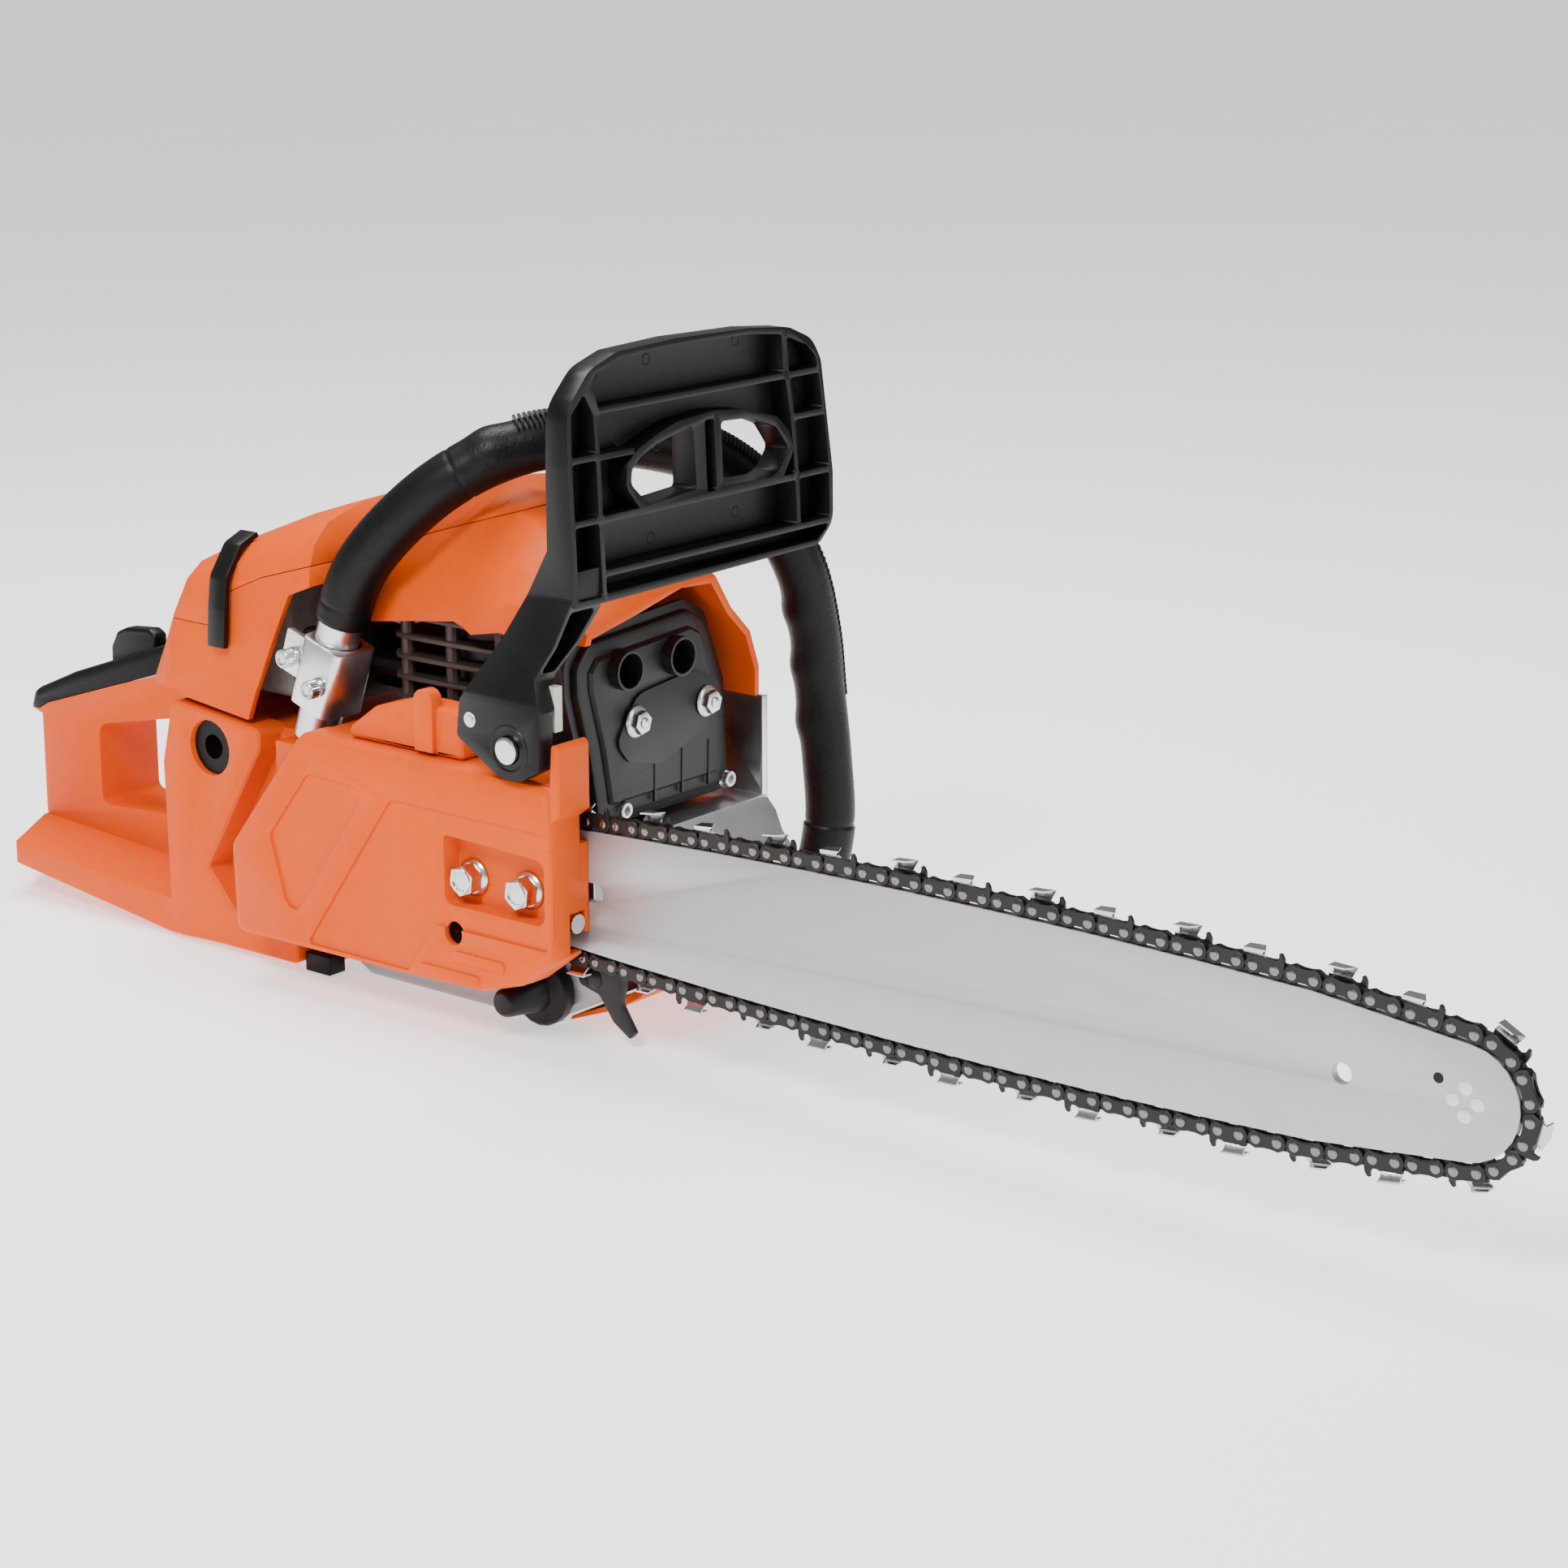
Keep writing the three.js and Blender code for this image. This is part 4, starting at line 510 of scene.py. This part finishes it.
def pipe(bm, path, start, stop, spacing, sides, radius):
    """A pipe along a path; radius(distance, angle) in millimetres, its angle measured from the outward side."""
    count = max(2, round((stop - start) / spacing))
    rings, uv = [], bm.loops.layers.uv.verify()
    for i in range(count + 1):
        s = start + (stop - start) * i / count
        centre, along, out = place_on(path, s)
        side = along.cross(out)
        rings.append([bm.verts.new((centre + (out * math.cos(a) + side * math.sin(a)) * radius(s, a)) * MM)
                      for a in (2 * math.pi * k / sides for k in range(sides))])
    for i, (low, high) in enumerate(zip(rings, rings[1:])):
        for k in range(sides):
            face = bm.faces.new((low[k - 1], low[k], high[k], high[k - 1]))
            for loop, u, v in zip(face.loops, (k - 1, k, k, k - 1), (i, i, i + 1, i + 1)):
                loop[uv].uv = (u / sides + 1 / sides, (start + (stop - start) * v / count) / 100)
    bm.faces.new(rings[0])
    bm.faces.new(rings[-1])


HANDLE_PATH = Path(smooth_line(HANDLE))
SLEEVE_ZERO = HANDLE_PATH.total * 5 / 48  # the sleeve's features are placed from here
SLEEVE_FIRST, SLEEVE_LAST = -11, 435  # its ends
SEAMS = (-2, 82, 403)
BAND_START = 404
COMB_BULGE = 99
FINGER_BUMPS = (296, 325, 353)
TUBE_RADIUS = 10.3


def front_handle():
    """The bare tube, the rubber sleeve on it and the sleeve's two combs of thin ribs."""
    bm = bmesh.new()
    pipe(bm, HANDLE_PATH, 0, HANDLE_PATH.total, 4, 48, lambda s, a: TUBE_RADIUS)
    piece("handle_tube", bm, [TUBE], "chassis", ["front_handle"])

    def radius(s, a):
        """Seams round the sleeve, a bulge by the comb, and bumps between the fingers on the left leg."""
        d = s - SLEEVE_ZERO
        outward, inward = max(0.0, math.cos(a)), max(0.0, -math.cos(a))
        r = 12.5 - 0.6 * min(max((d - 230) / 30, 0), 1)
        if d < SLEEVE_FIRST + 1 or d > SLEEVE_LAST - 1:
            r -= 0.4
        elif d > BAND_START:
            r += 0.6
        r -= sum(0.4 * math.exp(-((d - seam) / 0.8) ** 2) for seam in SEAMS)
        r += 1.7 * math.exp(-((d - COMB_BULGE) / 7) ** 2) * outward
        r += sum(1.5 * math.exp(-((d - bump) / 7) ** 2) for bump in FINGER_BUMPS) * inward
        return r

    bm = bmesh.new()
    pipe(bm, HANDLE_PATH, SLEEVE_ZERO + SLEEVE_FIRST, SLEEVE_ZERO + SLEEVE_LAST, 0.8, 56, radius)
    piece("sleeve", bm, [SLEEVE], "chassis", ["handle_sleeve"], 50)

    bm = bmesh.new()
    for first, last, spacing, half, foot, crest, thick in ((112, 226, 2.0, 6.5, 11.5, 15.6, 0.5),
                                                          (268, 344, 2.8, 5.0, 11.0, 13.0, 0.7)):
        for i in range(int((last - first) / spacing)):
            centre, along, out = place_on(HANDLE_PATH, SLEEVE_ZERO + first + i * spacing)
            shoulder = crest - 1.4 if crest > 14 else crest - 0.8
            rib = [(-half, foot - 2), (half, foot - 2), (half, shoulder - 1.5), (half * 0.7, shoulder),
                   (0, crest), (-half * 0.7, shoulder), (-half, shoulder - 1.5)]
            prism(bm, rib, centre, along, out, -thick, thick)
    piece("sleeve_comb", bm, [RUBBER], "chassis", (), 30)


front_handle()


# ------------------------------------------------------------------ nuts, screws and rivets
def bar_nuts():
    """Flanged nuts on the two studs, and the threads that stand out of them."""
    out = -Y_AXIS
    for node, stud, x in (("bar_nut_rear", "bar_stud_rear", 50.7), ("bar_nut_front", "bar_stud_front", 83.2)):
        place = (x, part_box(node)[1].y / MM, CRANK_Z)
        bm = bmesh.new()
        prism(bm, ring_of(6, 7.4, 0.4), place, out, Z_AXIS, 1.4, 8.6, 0.7)
        turn_profile(bm, [(0, 0), (8.5, 0), (8.6, 0.5), (8.2, 1.1), (6.9, 1.9), (0, 1.9)], place, out, 48)
        mouth = [(6.0, 8.5), (5.6, 9.2), (4.6, 9.3), (4.15, 8.7), (4.15, 7.5), (0, 7.5)]
        turn_profile(bm, mouth, place, out, 48)
        piece(node + "_flanged", bm, [ZINC], "chassis", [node], 30)
        low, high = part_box(stud)
        bm = bmesh.new()
        threads = [(0, 0), (3.9, 0)]
        length = (high.y - low.y) / MM
        for i in range(int((length - 2) / 1.25)):
            threads += [(3.95, 0.2 + i * 1.25), (3.55, 0.85 + i * 1.25)]
        threads += [(3.6, length - 0.9), (3.1, length - 0.3), (1.3, length - 0.25), (0.9, length - 0.7),
                    (0, length - 0.9)]
        turn_profile(bm, threads, (x, high.y / MM, CRANK_Z), out, 32)
        piece(stud + "_threaded", bm, [ZINC], "chassis", [stud], 30)


bar_nuts()


def flange_bolts():
    """The two hexagon bolts that hold the muffler, with a washer under each head."""
    for node in ("muffler_bolt_right", "muffler_bolt_left"):
        low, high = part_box(node)
        middle = (low + high) / 2 / MM
        place = (low.x / MM, middle.y, middle.z)
        bm = bmesh.new()
        turn_profile(bm, [(0, 0), (7.2, 0), (7.35, 0.4), (6.9, 0.9), (5.6, 1.5), (0, 1.5)], place, X_AXIS, 40)
        prism(bm, ring_of(6, 5.5, 0.2), place, X_AXIS, Z_AXIS, 1.3, 4.6, 0.5)
        tip = [(0, 5.9), (1.6, 5.85), (2.5, 5.3), (2.6, 4.9), (2.4, 4.4), (2.4, 4.0), (0, 4.0)]
        turn_profile(bm, tip, place, X_AXIS, 24)
        piece(node + "_detailed", bm, [ZINC], "chassis", [node], 30)


flange_bolts()


def clamp_screws():
    """The clamp's socket-head screws with knurled heads and two washers each."""
    for node in ("clamp_screw_rear", "clamp_screw_front"):
        low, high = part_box(node)
        middle = (low + high) / 2 / MM
        place = (middle.x, high.y / MM, middle.z)
        out = -Y_AXIS
        bm = bmesh.new()
        turn_profile(bm, [(0, 0.6), (4.3, 0.6), (4.3, 2.2), (0, 2.2)], place, out, 40)
        turn_profile(bm, [(0, 0), (4.55, 0), (4.55, 1.4), (0, 1.4)], place, out, 40)
        head = [(4.05 if i % 2 else 4.35, 2 * math.pi * i / 48) for i in range(48)]
        prism(bm, [(r * math.cos(a), r * math.sin(a)) for r, a in head], place, out, Z_AXIS, 2.2, 7.0, 0)
        turn_profile(bm, [(4.05, 6.9), (3.6, 7.45), (2.9, 7.5)], place, out, 48)
        turn_profile(bm, [(2.9, 7.5), (2.5, 7.3), (2.45, 7.0)], place, out, 6)
        turn_profile(bm, [(2.6, 7.35), (2.25, 7.3), (2.2, 4.4), (0, 4.3)], place, out, 6)
        piece(node + "_knurled", bm, [ZINC], "chassis", [node], 30)


clamp_screws()


PIVOT_X, PIVOT_Z = 86, 140
HUB_FACE = -92.5  # outer face of the guard's hub


def guard_pivot():
    """The guard's pin and the raised ring round it."""
    low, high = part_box("guard_pivot")
    place = (PIVOT_X, high.y / MM, PIVOT_Z)
    length = (high.y - low.y) / MM
    bm = bmesh.new()
    pin = [(0, 0), (5.9, 0), (5.9, length - 0.5), (5.3, length - 0.1), (4.4, length), (0, length - 0.15)]
    turn_profile(bm, pin, place, -Y_AXIS, 48)
    piece("pivot_pin", bm, [ZINC], "chassis", ["guard_pivot"], 30)
    bm = bmesh.new()
    turn_profile(bm, [(6.3, 92.4), (8.6, 92.4), (9.4, 92.9), (10.6, 92.9), (11.0, 92.55), (11.0, 92.3)],
                 (PIVOT_X, 0, PIVOT_Z), -Y_AXIS, 56)
    piece("pivot_ring", bm, [BLACK], body_of("hand_guard"), (), 30)


guard_pivot()


def guard_details():
    """Pin, washer and hole on the guard's hub, and the round ejector marks on its skin."""
    body = body_of("hand_guard")
    bm = bmesh.new()
    turn_profile(bm, [(0, 0.9), (1.9, 0.8), (2.1, 0.3), (2.1, -1), (0, -1)], (64, HUB_FACE, 150), -Y_AXIS, 24)
    turn_profile(bm, [(2.1, 0.3), (3.3, 0.25), (3.4, -0.3)], (64, HUB_FACE, 150), -Y_AXIS, 28)
    piece("guard_pin", bm, [ZINC], body, (), 30)
    bm = bmesh.new()
    turn_profile(bm, [(0, 0.05), (1.5, 0.05), (1.6, -0.2), (0, -0.2)], (81, HUB_FACE, 154), -Y_AXIS, 20)
    skin_front = 103
    for y, z in ((-14, 262), (-54, 297), (-20, 299.5), (40, 301), (82, 292), (82, 276), (-18, 222), (40, 225)):
        turn_profile(bm, [(2.0, 0), (2.2, 0.18), (2.5, 0.18), (2.7, 0)], (skin_front, y, z), X_AXIS, 24)
    piece("guard_marks", bm, [BLACK], body, (), 30)


guard_details()


def muffler_details():
    """Three upright folds in the muffler's front and the screws in its lower corners."""
    front = 84
    bm = bmesh.new()
    for y in (5.2, 24.2, 43):
        fold = [(-0.7, 96), (0.7, 96), (0.5, 117), (-0.5, 117)]
        prism(bm, fold, (front, y, 0), X_AXIS, Z_AXIS, -1, 0.45, 0.3)
    piece("muffler_ridges", bm, [MUFFLER], "chassis", (), 30)
    bm = bmesh.new()
    for y, z in ((-14.5, 96), (58.5, 95)):
        turn_profile(bm, [(0, 0), (4.3, 0), (4.3, 1.0), (3.9, 1.6), (3.7, 4.4), (3.3, 4.8), (2.3, 4.8)],
                     (front - 4, y, z), X_AXIS, 32)
        turn_profile(bm, [(2.3, 4.8), (2.0, 4.6), (2.0, 2.4), (0, 2.4)], (front - 4, y, z), X_AXIS, 6)
    piece("muffler_screws", bm, [ZINC], "chassis", (), 30)


muffler_details()


def shield_lip():
    """The folded front edge of the heat shield's upright, and the screw that holds the bumper."""
    bm = bmesh.new()
    prism(bm, [(-2.8, 86), (1.0, 86), (1.0, 133), (-2.8, 133)], (91.9, 74, 0), X_AXIS, Z_AXIS, 0, 1.1, 0.2)
    piece("shield_lip", bm, [SHEET], "chassis", (), 30)
    bm = bmesh.new()
    turn_profile(bm, [(0, 2.6), (1.5, 2.5), (3.4, 1.7), (4.6, 0.4), (4.7, -0.5), (0, -0.5)], (95, -50.5, 29),
                 -Y_AXIS, 36)
    piece("bumper_screw", bm, [MUFFLER], "chassis", (), 30)


shield_lip()


def buffer_rubber():
    """The rubber buffer behind the handle's rear screw."""
    bm = bmesh.new()
    turn_profile(bm, [(0, 6), (8.2, 6), (9.4, 4.8), (9.4, 1), (8.4, 0), (9.4, -1), (9.4, -8), (0, -8)],
                 (-76, -43, 154), -Y_AXIS, 40)
    piece("buffer", bm, [RUBBER], "chassis", (), 30)


buffer_rubber()


def nose_rivets():
    """Four rivets that hold the bar's nose together, and behind them a black disc of painted shade where the oil
    hole is.
    """
    face = BAR_Y - 2.1
    bm = bmesh.new()
    for x, z in ((524.1, 79.9), (519.1, 74.5), (529.1, 74.5), (524.1, 69.1)):
        head = [(0, 0.3), (2.3, 0.28), (2.75, 0.14), (2.8, -0.2), (0, -0.2)]
        turn_profile(bm, head, (x, face, z), -Y_AXIS, 32)
    piece("nose_rivets", bm, [ALUMINIUM], "chassis", (), 30)
    bm = bmesh.new()
    # a flat black disc, painted shade, stands for the dark inside of the oil hole
    turn_profile(bm, [(0, 0.03), (2.1, 0.03), (2.2, -0.1), (0, -0.1)], (513, face, 81.3), -Y_AXIS, 24)
    piece("oil_hole_painted_shade", bm, [BLACK], "chassis", (), 30)


nose_rivets()


# ------------------------------------------------------------------ room, light and camera
def area_light(name, place, target, size, power):
    light = bpy.data.lights.new(name, "AREA")
    light.shape, light.size, light.size_y = "RECTANGLE", *size
    light.energy = power
    lamp = bpy.data.objects.new(name, light)
    lamp.location = place
    lamp.rotation_euler = (Vector(target) - Vector(place)).to_track_quat("-Z", "Y").to_euler()
    bpy.context.scene.collection.objects.link(lamp)


def room():
    """A pale floor under soft lights."""
    floor_finish = Finish("pale_floor", emission_strength=0.85)
    mottle = floor_finish.noise(3, 2)
    floor_finish.paint(base_color=floor_finish.mix(mottle, (0.9, 0.9, 0.9), (0.93, 0.93, 0.93)),
                       emission_color=floor_finish.mix(mottle, (0.97, 0.97, 0.97), (1.0, 1.0, 1.0)),
                       roughness=mottle.steps(0, 1, 0.75, 0.85))
    mesh = bpy.data.meshes.new("floor")
    bm = bmesh.new()
    bmesh.ops.create_grid(bm, x_segments=1, y_segments=1, size=60)
    bm.to_mesh(mesh)
    mesh.materials.append(floor_finish.material)
    floor = bpy.data.objects.new("floor", mesh)
    bpy.context.scene.collection.objects.link(floor)
    world = bpy.data.worlds.new("studio")
    world.use_nodes = True
    world.node_tree.nodes["Background"].inputs["Color"].default_value = (1, 1, 1, 1)
    world.node_tree.nodes["Background"].inputs["Strength"].default_value = 0.32
    bpy.context.scene.world = world
    middle = (0.1, 0, 0.12)
    area_light("key", (0.5, -1.5, 1.7), middle, (0.6, 0.6), 44)
    area_light("top", (-0.4, 0.2, 1.8), middle, (1.2, 0.8), 44)
    area_light("front", (2.4, 0.4, 0.9), middle, (1.0, 1.4), 18)
    area_light("low", (0.3, -2.4, 0.25), middle, (2.4, 0.5), 5)


def camera():
    lens = bpy.data.cameras.new("camera")
    lens.lens, lens.sensor_width, lens.clip_end = 79.43, 36, 200
    body = bpy.data.objects.new("camera", lens)
    body.location = (1.0561, -1.1338, 0.5114)
    aim = (Vector((0.2107, -0.062, 0.1397)) - body.location).to_track_quat("-Z", "Y")
    body.rotation_euler = aim.to_euler()
    bpy.context.scene.collection.objects.link(body)
    bpy.context.scene.camera = body


room()
camera()
